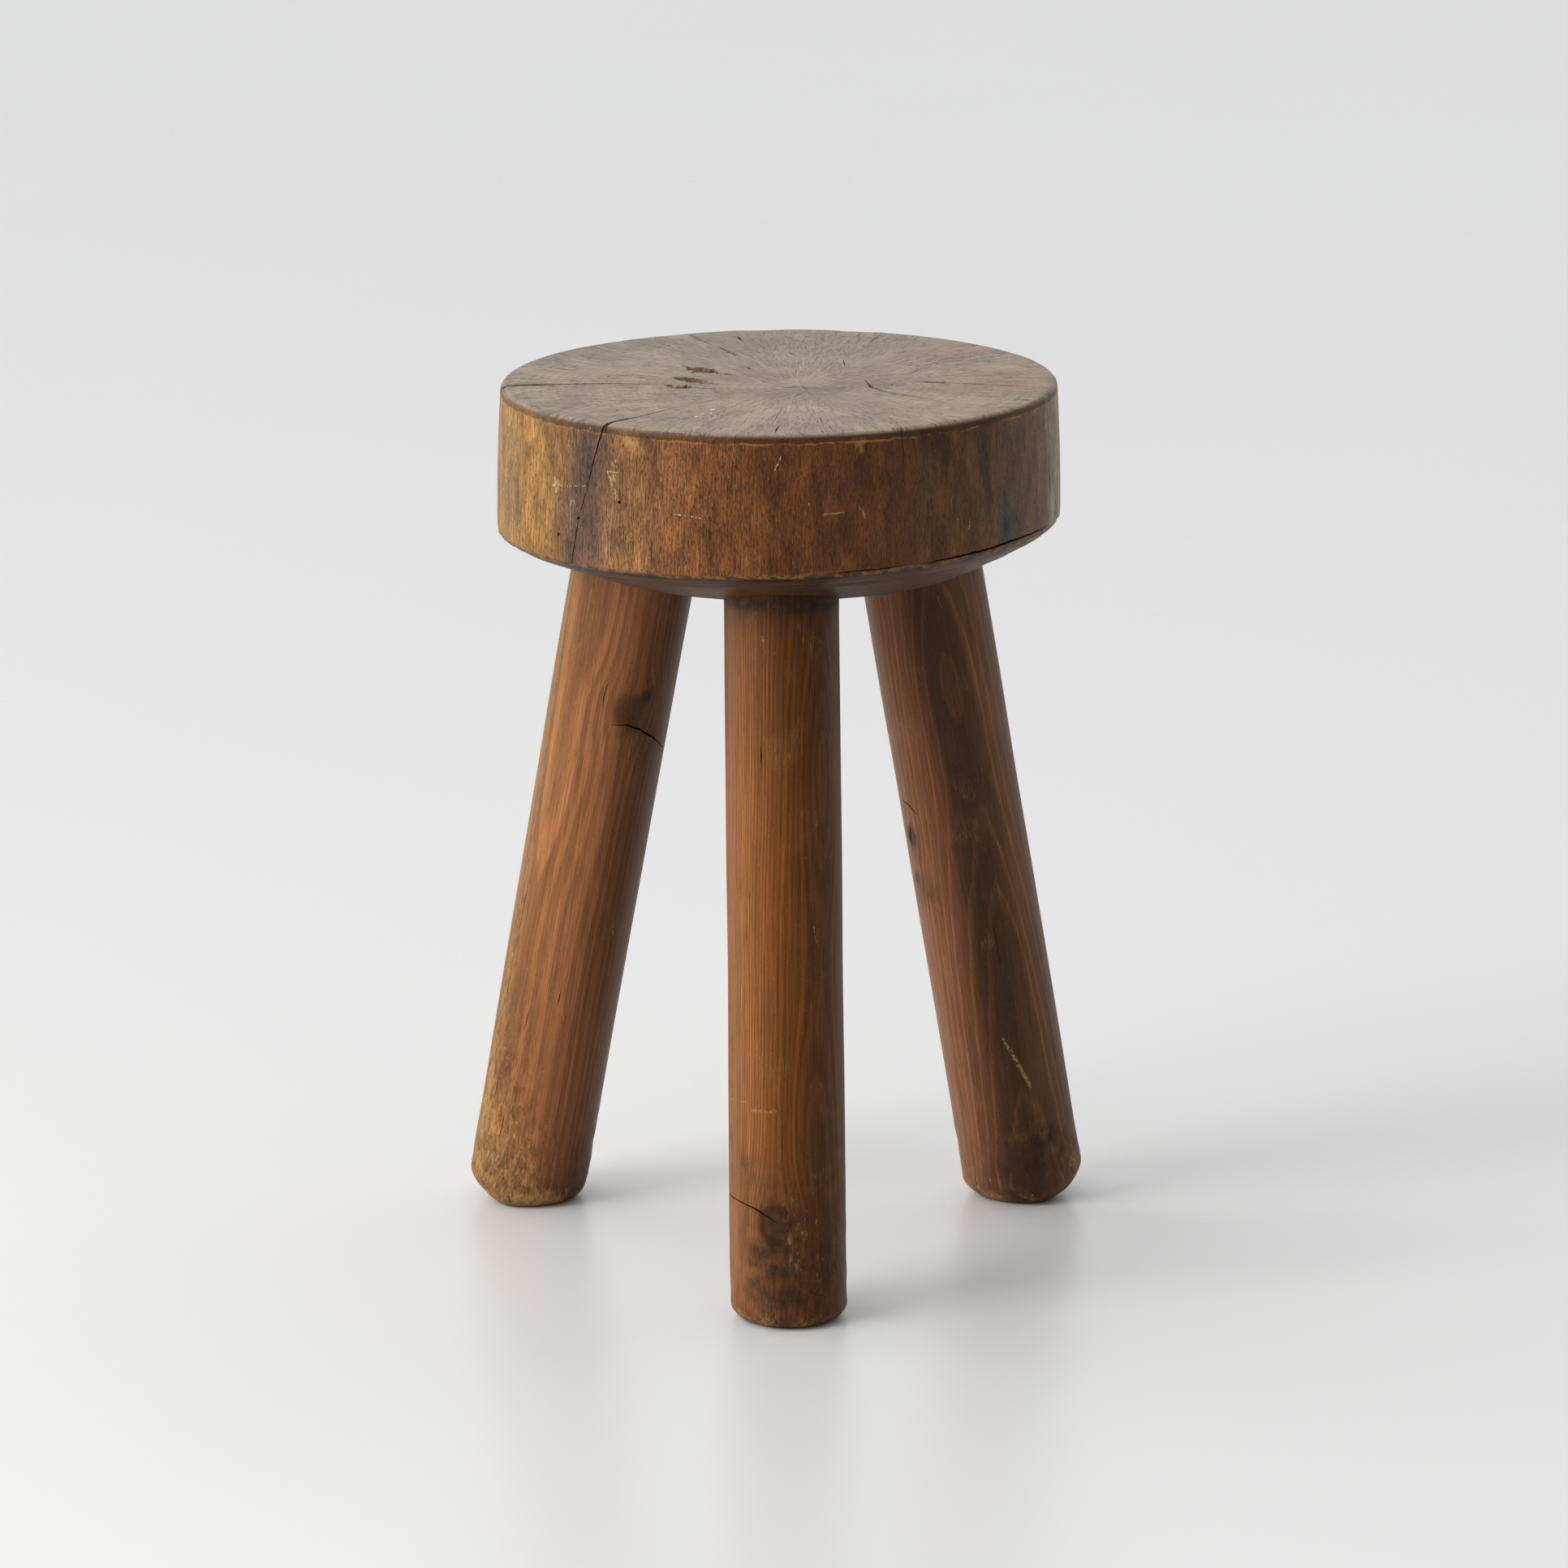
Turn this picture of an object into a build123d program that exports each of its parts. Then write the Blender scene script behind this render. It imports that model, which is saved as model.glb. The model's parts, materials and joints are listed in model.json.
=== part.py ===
"""Three-legged milking stool: a thick round slab of log on three splayed round legs.

The slab is one cross-cut piece, so its grain runs up and down and its top face is end grain.
Its side flares a little towards a lower arris, and its underside is worked back in two bevels
to a smaller flat. Three blind mortises are bored into the underside at the legs' splay. Each
leg keeps its full thickness into its mortise, where a hardwood fox wedge spreads its sawn end
against the wall, because a blind tenon can't be wedged from above. The feet are sawn level
with the floor and rounded over.

Millimetres and degrees, +Z up. The model is made about the seat's upright axis with the floor
at zero. At the end it is shifted so that its origin is the middle of its bounding box, on the
floor.
"""

from build123d import *
from dataclasses import dataclass
from math import cos, radians, sin, tan
import os

# ---- slab -------------------------------------------------------------------------------
stool_height = 433.0
seat_diameter = 276.0  # across the lower arris, where the slab is widest
side_flare = 2.0  # how much further out the lower arris is than the top face's edge
side_height = 69.5  # top face to lower arris
side_belly = 0.5  # how far the side stands out past a straight flare at mid height
top_edge_round = 3.0
rim_edge_round = 1.6
outer_bevel_inset = 9.0  # first bevel: narrow and steep
outer_bevel_drop = 5.8
inner_bevel_inset = 35.5  # second bevel: wide and shallow, down to the flat
inner_bevel_drop = 15.0

# ---- legs -------------------------------------------------------------------------------
splay = 11.0  # each leg's lean from upright, outwards from the seat's axis
leg_inset = 58.1  # lower arris in to a leg's axis, where it enters the underside's flat


@dataclass
class LegSize:
    """One leg. Hand-made legs differ a little, so each has sizes of its own."""

    name: str
    bearing: float  # where it stands around the seat, from +X towards +Y
    shoulder_diameter: float  # where it enters the slab, and all through the mortise
    foot_diameter: float
    foot_round: float  # how far the foot's edge is worn round


leg_sizes = [
    LegSize("front", -90.0, 55.8, 56.4, 4.5),
    LegSize("rear_left", 150.0, 61.6, 58.8, 8.0),
    LegSize("rear_right", 30.0, 60.4, 60.0, 8.0),
]

# ---- joints -----------------------------------------------------------------------------
mortise_depth = 48.0  # along the leg's axis, below the underside's flat
glue_line = 0.1  # gap all round a tenon
tenon_end_gap = 2.0  # from a tenon's sawn end to the mortise's floor
tenon_lead_in = 1.5
wedge_length = 30.0
wedge_head_thickness = 5.0
wedge_tip_thickness = 1.2
wedge_side_gap = 3.0  # from the wedge's edge to the tenon's side
kerf_run_out = 6.0  # how far the saw went past the wedge's tip

# ---- worked out -------------------------------------------------------------------------
rim_radius = seat_diameter / 2
top_radius = rim_radius - side_flare
rim_z = stool_height - side_height
outer_bevel_radius = rim_radius - outer_bevel_inset
outer_bevel_z = rim_z - outer_bevel_drop
flat_radius = outer_bevel_radius - inner_bevel_inset
flat_z = outer_bevel_z - inner_bevel_drop
foot_circle_radius = rim_radius - leg_inset + flat_z * tan(radians(splay))
shoulder_length = flat_z / cos(radians(splay))  # floor to underside, along a leg's axis
mortise_floor = shoulder_length + mortise_depth
tenon_end = mortise_floor - tenon_end_gap
cutter_overrun = 30.0  # how far a cutting shape runs past what it cuts


def leg_plane(size):
    """The leg's own frame: origin where its axis meets the floor, z up the leg, x outwards."""
    out = Vector(cos(radians(size.bearing)), sin(radians(size.bearing)), 0)
    up = Vector(0, 0, 1)
    along = up * cos(radians(splay)) - out * sin(radians(splay))
    outwards = out * cos(radians(splay)) + up * sin(radians(splay))
    return Plane(origin=out * foot_circle_radius, x_dir=outwards, z_dir=along)


def across_kerf(plane):
    """The plane that a leg's kerf and wedge are drawn in: x across the kerf, y up the leg."""
    return Plane(plane.origin, x_dir=plane.y_dir, z_dir=plane.x_dir)


def make_seat():
    """The slab: a turned outline with rounded arrises, less the three blind mortises."""
    mid_radius = (top_radius + rim_radius) / 2 + side_belly
    mid_z = (stool_height + rim_z) / 2
    with BuildPart() as seat:
        with BuildSketch(Plane.XZ) as outline:
            with BuildLine():
                Line((0, stool_height), (top_radius, stool_height))
                ThreePointArc(
                    (top_radius, stool_height), (mid_radius, mid_z), (rim_radius, rim_z)
                )
                Polyline(
                    (rim_radius, rim_z),
                    (outer_bevel_radius, outer_bevel_z),
                    (flat_radius, flat_z),
                    (0, flat_z),
                    (0, stool_height),
                )
            make_face()
            fillet(outline.vertices().sort_by(Axis.X)[-1], radius=rim_edge_round)
            top_corners = outline.vertices().group_by(Axis.Y)[-1]
            fillet(top_corners.sort_by(Axis.X)[-1], radius=top_edge_round)
        revolve(axis=Axis.Z)
        for size in leg_sizes:
            plane = leg_plane(size)
            bore_radius = size.shoulder_diameter / 2 + glue_line
            with BuildSketch(plane.offset(mortise_floor)):
                Circle(bore_radius)
            extrude(amount=-(mortise_depth + bore_radius + cutter_overrun), mode=Mode.SUBTRACT)
    seat.part.label = "seat_slab"
    return seat.part


def make_leg(size):
    """A round leg: tapered below the slab, straight in the mortise, kerfed for its wedge."""
    plane = leg_plane(size)
    shoulder_radius = size.shoulder_diameter / 2
    foot_radius = size.foot_diameter / 2
    # the leg is made longer than it stands, with its taper run on, then sawn at the floor
    over_length = foot_radius * tan(radians(splay)) + cutter_overrun
    taper = (foot_radius - shoulder_radius) / shoulder_length
    start_radius = foot_radius + taper * over_length
    half_head = wedge_head_thickness / 2
    half_tip = wedge_tip_thickness / 2
    tip_z = mortise_floor - wedge_length
    with BuildPart() as leg:
        with BuildSketch(Plane(plane.origin, x_dir=plane.x_dir, z_dir=-plane.y_dir)):
            with BuildLine():
                Polyline(
                    (0, -over_length),
                    (start_radius, -over_length),
                    (shoulder_radius, shoulder_length),
                    (shoulder_radius, tenon_end - tenon_lead_in),
                    (shoulder_radius - tenon_lead_in, tenon_end),
                    (0, tenon_end),
                    close=True,
                )
            make_face()
        revolve(axis=Axis(plane.origin, plane.z_dir))
        split(bisect_by=Plane.XY, keep=Keep.TOP)
        fillet(leg.faces().sort_by(Axis.Z)[0].edges(), radius=size.foot_round)
        # the kerf: spread by the wedge, and as sawn for a short way past its tip
        with BuildSketch(across_kerf(plane)):
            with BuildLine():
                Polyline(
                    (-half_tip, tip_z - kerf_run_out),
                    (half_tip, tip_z - kerf_run_out),
                    (half_tip, tip_z),
                    (half_head, mortise_floor),
                    (-half_head, mortise_floor),
                    (-half_tip, tip_z),
                    close=True,
                )
            make_face()
        extrude(amount=size.shoulder_diameter, both=True, mode=Mode.SUBTRACT)
    leg.part.label = f"leg_{size.name}"
    return leg.part


def make_fox_wedge(size):
    """The hidden wedge: its head rests on the mortise's floor and its taper fills the kerf."""
    half_head = wedge_head_thickness / 2
    half_tip = wedge_tip_thickness / 2
    tip_z = mortise_floor - wedge_length
    with BuildPart() as wedge:
        with BuildSketch(across_kerf(leg_plane(size))):
            with BuildLine():
                Polyline(
                    (-half_tip, tip_z),
                    (half_tip, tip_z),
                    (half_head, mortise_floor),
                    (-half_head, mortise_floor),
                    close=True,
                )
            make_face()
        extrude(amount=size.shoulder_diameter / 2 - wedge_side_gap, both=True)
    wedge.part.label = f"fox_wedge_{size.name}"
    return wedge.part


def middle_of_box(pieces):
    """The middle of the pieces' bounding box, seen from above."""
    boxes = [piece.bounding_box() for piece in pieces]
    middle_x = (min(box.min.X for box in boxes) + max(box.max.X for box in boxes)) / 2
    middle_y = (min(box.min.Y for box in boxes) + max(box.max.Y for box in boxes)) / 2
    return middle_x, middle_y


pieces = [make_seat()]
for size in leg_sizes:
    pieces.append(make_leg(size))
    pieces.append(make_fox_wedge(size))

middle_x, middle_y = middle_of_box(pieces)
print("the seat's axis ends up at", round(-middle_x, 3), round(-middle_y, 3))
os.makedirs("parts", exist_ok=True)
for piece in pieces:
    label = piece.label
    piece = Pos(-middle_x, -middle_y) * piece
    piece.label = label
    export_step(piece, f"parts/{label}.step")
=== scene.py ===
"""The looks of an old three-legged milking stool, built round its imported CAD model.

The slab is one cross-cut piece of a hardwood log: end grain on top, with its pith a little off
the middle and drying checks running out from it. The legs are stained pine rounds. Each piece
is a fine mesh made here to the CAD's sizes, with its real cracks, torn pits, worm holes and
worn edges cut into it, and a wood material that follows its own growth rings. The hidden fox
wedges stay as they are in the CAD.

Lengths in this script are millimetres in the pieces' own frames, until a mesh is made, which
is in metres. The slab's own frame stands on the floor under the seat's axis. A leg's own frame
stands where its axis meets the floor, with z up the leg and x pointing out from the stool.
Angles round a piece are in degrees. Round a leg they are counted from the side that faces the
front of the stool, growing to the right.
"""

from dataclasses import dataclass
import itertools
import json
import math
import bpy
import numpy as np
from mathutils import Matrix, Vector


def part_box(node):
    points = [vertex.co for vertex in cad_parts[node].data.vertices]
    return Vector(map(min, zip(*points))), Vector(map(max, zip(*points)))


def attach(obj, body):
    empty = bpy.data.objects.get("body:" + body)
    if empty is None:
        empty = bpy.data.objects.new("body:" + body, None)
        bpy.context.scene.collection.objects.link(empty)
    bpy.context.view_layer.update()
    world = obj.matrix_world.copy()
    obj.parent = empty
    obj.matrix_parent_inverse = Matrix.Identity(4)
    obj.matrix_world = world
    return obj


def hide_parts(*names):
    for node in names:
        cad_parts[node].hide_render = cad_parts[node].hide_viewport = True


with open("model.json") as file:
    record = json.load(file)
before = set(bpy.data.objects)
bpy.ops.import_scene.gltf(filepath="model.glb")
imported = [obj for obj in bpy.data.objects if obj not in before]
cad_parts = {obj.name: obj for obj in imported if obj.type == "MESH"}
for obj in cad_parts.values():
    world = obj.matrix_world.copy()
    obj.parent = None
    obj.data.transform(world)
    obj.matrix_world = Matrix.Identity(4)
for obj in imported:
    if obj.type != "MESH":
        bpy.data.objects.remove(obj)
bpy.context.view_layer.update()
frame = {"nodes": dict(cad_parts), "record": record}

MM = 0.001
MOUNTS = {mount["name"]: Vector(mount["pos_m"]) for mount in frame["record"]["mounts"]}
SEAT_TOP = MOUNTS["seat_top"]
SEAT_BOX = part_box("seat_slab")

# ---- the slab's sizes -------------------------------------------------------------------
STOOL_HEIGHT = SEAT_TOP.z / MM
RIM_RADIUS = (SEAT_BOX[1].x - SEAT_BOX[0].x) / 2 / MM
UNDERSIDE = SEAT_BOX[0].z / MM
SIDE_FLARE = 2.0
TOP_RADIUS = RIM_RADIUS - SIDE_FLARE
SIDE_HEIGHT = 69.5
RIM_Z = STOOL_HEIGHT - SIDE_HEIGHT
OUTER_BEVEL_INSET = 9.0  # insets are from the lower arris to a bevel's inner edge
OUTER_BEVEL_DROP = 5.8
INNER_BEVEL_INSET = 44.5
OUTER_BEVEL = (RIM_RADIUS - OUTER_BEVEL_INSET, RIM_Z - OUTER_BEVEL_DROP)  # radius, height
INNER_BEVEL = (RIM_RADIUS - INNER_BEVEL_INSET, UNDERSIDE)
TOP_EDGE_ROUND = 3.0
RIM_EDGE_ROUND = 1.6
SIDE_BELLY = 0.5
TOP_TILT = 0.0071  # the top face rises this much per millimetre to the right
RIM_TILT = 0.0270  # and the hand-cut lower arris this much
PITH = (10.0, -20.0)  # the log's heart, from the seat's axis
SLAB_SECTORS = 480
PER_DEGREE = 2.4  # millimetres round the slab's side to a degree of bearing
WORM_HOLE_DEPTH = 5
TOP_WORM_RADIUS = 0.9
SIDE_WORM_RADIUS = 0.85

# ---- the legs' sizes --------------------------------------------------------------------
SPLAY = math.radians(11.0)
MORTISE_DEPTH = 48.0
TENON_END_GAP = 2.0
TENON_LEAD_IN = 1.5
GLUE_LINE = 0.1
WEDGE_LENGTH = 30.0
KERF_LENGTH = WEDGE_LENGTH + 6.0  # the saw went a little past the wedge's tip
WEDGE_HEAD = 5.0
WEDGE_TIP = 1.2
SHOULDER_LENGTH = UNDERSIDE / math.cos(SPLAY)
MORTISE_FLOOR = SHOULDER_LENGTH + MORTISE_DEPTH
TENON_END = MORTISE_FLOOR - TENON_END_GAP
MORTISE_SECTORS = 96
LEG_SECTORS = 150
LEG_RING_GAP = 1.25

VIEW_BEARING = -91.0  # where the front of the stool faces, from +X towards +Y


def paint(red, green, blue):
    """A colour as a maker's chart gives it, 0 to 255, in the linear values that nodes use."""
    parts = []
    for part in (red, green, blue):
        part = part / 255
        parts.append(part / 12.92 if part <= 0.04045 else ((part + 0.055) / 1.055) ** 2.4)
    return (*parts, 1.0)


# ---- shape helpers ----------------------------------------------------------------------
def smooth_step(low, high, value):
    """0 below low, 1 above high, and a smooth rise between. high may be the lower one."""
    t = np.clip((value - low) / (high - low), 0, 1)
    return t * t * (3 - 2 * t)


def unevenness(points, grain, seed):
    """Smooth noise from -1 to 1 at each point. grain is the size of its lumps."""
    at = np.asarray(points, float) / grain + 517.3
    cell = np.floor(at).astype(np.int64)
    t = at - cell
    t = t * t * (3 - 2 * t)
    total = np.zeros(len(at))
    for corner in itertools.product((0, 1), repeat=3):
        x, y, z = (cell + np.array(corner)).T
        mixed = (x * 73856093) ^ (y * 19349663) ^ (z * 83492791) ^ (seed * 265443576)
        mixed = ((mixed ^ (mixed >> 13)) * 1274126177) & 0xFFFFFFFF
        value = ((mixed ^ (mixed >> 16)) & 0xFFFF) / 32767.5 - 1
        total += value * np.prod(np.where(corner, t, 1 - t), axis=1)
    return total


def spot(distance_across, distance_along, across, along):
    """A soft round or oval patch: 1 in its middle, fading to 0."""
    return np.exp(-((distance_across / across) ** 2) - (distance_along / along) ** 2)


def tone_round(angle, tones_with_light):
    """The colour at each angle, from a list of angles and colours round a piece."""
    keys = [key for key, _ in tones_with_light]
    parts = [np.interp(angle, keys, [colour[k] for _, colour in tones_with_light]) for k in range(3)]
    return np.stack(parts, 1)


def coat(tone, colour, amount):
    """The tones with a colour laid over them, as thickly as amount says at each point."""
    amount = np.clip(amount, 0, 1)[:, None]
    return tone * (1 - amount) + np.array(colour)[..., :3] * amount


def wrap(degrees):
    """An angle brought into -180 to 180."""
    return (degrees + 180) % 360 - 180


def make_mesh(name, points, faces, matrix=None):
    """A mesh object from points in millimetres, in the frame that matrix gives."""
    mesh = bpy.data.meshes.new(name)
    mesh.from_pydata((np.asarray(points) * MM).tolist(), [], faces)
    mesh.update()
    made = bpy.data.objects.new(name, mesh)
    bpy.context.scene.collection.objects.link(made)
    if matrix is not None:
        made.matrix_world = matrix
    return made


def grid_faces(rings, sectors, first):
    """Quads between rings of points, each ring going round the piece."""
    faces = []
    for ring in range(rings - 1):
        low = first + ring * sectors
        high = low + sectors
        for k in range(sectors):
            after = (k + 1) % sectors
            faces.append((low + k, low + after, high + after, high + k))
    return faces


def capped_faces(rings, sectors):
    """The faces of a closed shape made of rings of points, with a flat face at each end."""
    last = (rings - 1) * sectors
    ends = [tuple(range(sectors - 1, -1, -1)), tuple(range(last, last + sectors))]
    return grid_faces(rings, sectors, 0) + ends


def closed_round(name, rings, matrix):
    """A closed round piece from rings of points, bottom first, with a middle point at each end."""
    sectors = len(rings[0])
    points = np.concatenate([rings[0].mean(0)[None], *rings, rings[-1].mean(0)[None]])
    faces = [(0, 1 + (k + 1) % sectors, 1 + k) for k in range(sectors)]
    faces += grid_faces(len(rings), sectors, 1)
    last = 1 + (len(rings) - 1) * sectors
    end = len(points) - 1
    faces += [(end, last + k, last + (k + 1) % sectors) for k in range(sectors)]
    return make_mesh(name, points, faces, matrix)


def blade(path, inward, widths, depths, floor=0.15, ragged=0.0, seed=1, step=2.0, over=2.0):
    """The shape that cuts one crack: a wedge that follows path, points on the surface.

    inward is the way down into the wood at each point. widths and depths are spread evenly
    along the path. floor is the crack's width at the bottom as a share of its width on top,
    and ragged how far each lip strays, at each step along it.
    """
    path = np.asarray(path, float)
    inward = np.asarray(inward, float)
    length = np.concatenate([[0], np.cumsum(np.linalg.norm(np.diff(path, axis=0), axis=1))])
    stations = max(8, int(length[-1] / step))
    at = np.linspace(0, length[-1], stations)
    along = at / length[-1]
    middle = np.stack([np.interp(at, length, path[:, k]) for k in range(3)], 1)
    down = np.stack([np.interp(at, length, inward[:, k]) for k in range(3)], 1)
    down /= np.linalg.norm(down, axis=1)[:, None]
    ahead = np.gradient(middle, axis=0)
    aside = np.cross(ahead, down)
    aside /= np.linalg.norm(aside, axis=1)[:, None]
    half = np.interp(along, np.linspace(0, 1, len(widths)), widths)[:, None] / 2
    depth = np.interp(along, np.linspace(0, 1, len(depths)), depths)[:, None]
    draw = np.random.default_rng(seed)
    stray = 0.35 * ragged * draw.standard_normal((stations, 1))
    left = half * (1 + ragged * draw.uniform(-1, 1, (stations, 1)))
    right = half * (1 + ragged * draw.uniform(-1, 1, (stations, 1)))
    middle = middle + aside * stray
    rings = np.stack([
        middle - aside * left - down * over,
        middle + aside * right - down * over,
        middle + aside * right * floor + down * depth,
        middle - aside * left * floor + down * depth,
    ], 1)
    return rings.reshape(-1, 3), capped_faces(stations, 4)


def peg(centre, inward, radius, depth, over=2.0, sectors=12):
    """The shape that cuts one round hole."""
    inward = np.asarray(inward, float) / np.linalg.norm(inward)
    aside = np.cross(inward, (0.31, 0.52, 0.79))
    aside /= np.linalg.norm(aside)
    other = np.cross(inward, aside)
    turn = np.linspace(0, 2 * math.pi, sectors, endpoint=False)[:, None]
    ring = (aside * np.cos(turn) + other * np.sin(turn)) * radius
    points = np.concatenate([centre - inward * over + ring, centre + inward * depth + ring])
    return points, capped_faces(2, sectors)


def outward_faces(points, faces):
    """The same closed shape with its faces turned outwards."""
    volume = 0.0
    for face in faces:
        for k in range(1, len(face) - 1):
            a, b, c = points[face[0]], points[face[k]], points[face[k + 1]]
            volume += np.dot(a, np.cross(b, c))
    return faces if volume > 0 else [tuple(reversed(face)) for face in faces]


def cut(piece, shapes):
    """Takes shapes, given in the piece's own frame, out of the piece, one after another."""
    for points, faces in shapes:
        cutter = make_mesh("cutter", points, outward_faces(points, faces), piece.matrix_world)
        step = piece.modifiers.new("cut", "BOOLEAN")
        step.operation = "DIFFERENCE"
        step.solver = "MANIFOLD"
        step.object = cutter
        bpy.context.view_layer.update()
        seen = piece.evaluated_get(bpy.context.evaluated_depsgraph_get())
        result = bpy.data.meshes.new_from_object(seen)
        piece.modifiers.clear()
        old = piece.data
        piece.data = result
        bpy.data.meshes.remove(old)
        bpy.data.meshes.remove(cutter.data)


def points_of(piece):
    """The piece's points in its own frame, in millimetres."""
    found = np.zeros(len(piece.data.vertices) * 3)
    piece.data.vertices.foreach_get("co", found)
    return found.reshape(-1, 3) / MM


def store(piece, name, values):
    """Keeps a number, or a colour, for each point, for the material to read."""
    values = np.asarray(values, np.float32)
    if values.ndim == 1:
        piece.data.attributes.new(name, "FLOAT", "POINT").data.foreach_set("value", values)
        return
    if name == "own_place":
        kept = piece.data.attributes.new(name, "FLOAT_VECTOR", "POINT")
        kept.data.foreach_set("vector", values.ravel())
        return
    rgba = np.ones((len(values), 4), np.float32)
    rgba[:, : values.shape[1]] = values
    kept = piece.data.attributes.new(name, "FLOAT_COLOR", "POINT")
    kept.data.foreach_set("color", rgba.ravel())


def settle(piece):
    """Moves the piece's points to where they stand, and its origin to the stool's."""
    piece.data.transform(piece.matrix_world)
    piece.matrix_world = Matrix()


def smooth(piece, crease=math.radians(38)):
    """Smooth shading with crisp edges where faces meet at more than the crease angle."""
    piece.data.shade_smooth()
    piece.data.set_sharp_from_angle(angle=crease)


# ---- the slab ---------------------------------------------------------------------------
def side_radius(bearing, z):
    """The slab's radius at a height on its side, with its hand-cut unevenness."""
    t = np.clip((STOOL_HEIGHT - z) / SIDE_HEIGHT, 0, 1)
    true = TOP_RADIUS + SIDE_FLARE * t + SIDE_BELLY * 4 * t * (1 - t)
    turn = np.radians(bearing)
    round_it = np.stack([np.cos(turn) * 140, np.sin(turn) * 140, 0 * turn], 1)
    tall = round_it + np.stack([0 * z, 0 * z, z], 1)
    drawn = tall * (1, 1, 0.12)
    return (
        true
        + 0.6 * unevenness(round_it, 95, 3)
        + 0.16 * unevenness(tall * (1, 1, 0.4), 22, 4)
        + 0.12 * unevenness(drawn, 3.5, 5)
    )


def slab_tilt(x, z):
    """How far a point of the slab is raised, because its faces aren't level."""
    heights = [UNDERSIDE, OUTER_BEVEL[1], RIM_Z, STOOL_HEIGHT]
    return x * np.interp(z, heights, [0.0, 0.019, RIM_TILT, TOP_TILT])


def slab_profile():
    """Radius and height of each ring, from the top's middle over the edge to the bottom's."""
    profile = [(r, STOOL_HEIGHT) for r in np.arange(2.0, TOP_RADIUS - TOP_EDGE_ROUND, 2.0)]
    for turn in np.radians(np.linspace(0, 84, 8)):
        profile.append((
            TOP_RADIUS - TOP_EDGE_ROUND * (1 - math.sin(turn)),
            STOOL_HEIGHT - TOP_EDGE_ROUND * (1 - math.cos(turn)),
        ))
    for z in np.linspace(STOOL_HEIGHT - TOP_EDGE_ROUND - 0.8, RIM_Z + RIM_EDGE_ROUND, 44):
        profile.append((RIM_RADIUS, z))
    profile.append((RIM_RADIUS - 0.15, RIM_Z + 0.55))
    profile.append((RIM_RADIUS - 0.9, RIM_Z - 0.35))
    for t in np.linspace(0.2, 1, 6):
        profile.append((
            RIM_RADIUS + (OUTER_BEVEL[0] - RIM_RADIUS) * t,
            RIM_Z + (OUTER_BEVEL[1] - RIM_Z) * t,
        ))
    for t in np.linspace(0.035, 1, 18):
        profile.append((
            OUTER_BEVEL[0] + (INNER_BEVEL[0] - OUTER_BEVEL[0]) * t,
            OUTER_BEVEL[1] + (INNER_BEVEL[1] - OUTER_BEVEL[1]) * t,
        ))
    for r in np.linspace(INNER_BEVEL[0] - 4, 4, 22):
        profile.append((r, UNDERSIDE))
    return profile


def slab_rings():
    """The slab's surface before anything is cut: its rings with their unevenness."""
    bearing = np.linspace(0, 360, SLAB_SECTORS, endpoint=False)
    turn = np.radians(bearing)
    rings = []
    for radius, height in slab_profile():
        z = np.full(SLAB_SECTORS, height)
        edge = side_radius(bearing, z)
        straight = TOP_RADIUS if height > RIM_Z + 1 else RIM_RADIUS
        on_side = height < STOOL_HEIGHT - TOP_EDGE_ROUND and radius >= RIM_RADIUS
        r = edge if on_side else radius * edge / straight
        here = np.stack([r * np.cos(turn), r * np.sin(turn), z], 1)
        flat = here * (1, 1, 0)
        if height > STOOL_HEIGHT - TOP_EDGE_ROUND - 0.5:
            z = z + 0.3 * unevenness(flat, 45, 7) + 0.1 * unevenness(flat, 9, 8)
            worn = smooth_step(TOP_RADIUS - 9, TOP_RADIUS - 1, radius)
            z = z - worn * (0.2 + 0.35 * smooth_step(0.1, 0.8, unevenness(here, 22, 9)))
        elif height < RIM_Z + 3:
            chewed = 1 - smooth_step(0, 3.0, abs(height - RIM_Z))
            r = r - chewed * 0.7 * smooth_step(0.05, 0.7, unevenness(here, 6, 10))
            tooled = unevenness(
                np.stack([bearing * 0.45, r * 2.2, 0 * r], 1), 6, 11
            ) + 0.6 * unevenness(here, 20, 13)
            under = smooth_step(RIM_Z - 1, RIM_Z - 4, height) * smooth_step(60, 90, radius)
            z = z + under * 0.35 * tooled
            step = spot(radius - (OUTER_BEVEL[0] - 1.6), 0, 1.4, 1)
            z = z + step * (0.9 + 0.5 * unevenness(here, 18, 12))
        x = r * np.cos(turn)
        rings.append(np.stack([x, r * np.sin(turn), z + slab_tilt(x, z)], 1))
    return rings


def on_top(x, y):
    """A point on the top face, given by its distance right and back from the seat's axis."""
    return np.array([x, y, STOOL_HEIGHT + TOP_TILT * x])


def on_side(bearing, below):
    """A point on the side, given by its bearing and how far it is below the top face."""
    z = STOOL_HEIGHT - below
    r = side_radius(np.array([bearing]), np.array([z]))[0]
    x, y = r * math.cos(math.radians(bearing)), r * math.sin(math.radians(bearing))
    return np.array([x, y, z + slab_tilt(x, z)])


def top_crack(places, widths, depths, **rest):
    """A crack in the top face, through the places given."""
    path = [on_top(*place) for place in places]
    return blade(path, [(0, 0, -1)] * len(path), widths, depths, **rest)


def side_crack(places, widths, depths, **rest):
    """A crack in the side, through places given by bearing and depth below the top."""
    path = [on_side(*place) for place in places]
    inward = [(-p[0], -p[1], 0) for p in path]
    return blade(path, inward, widths, depths, **rest)


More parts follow.
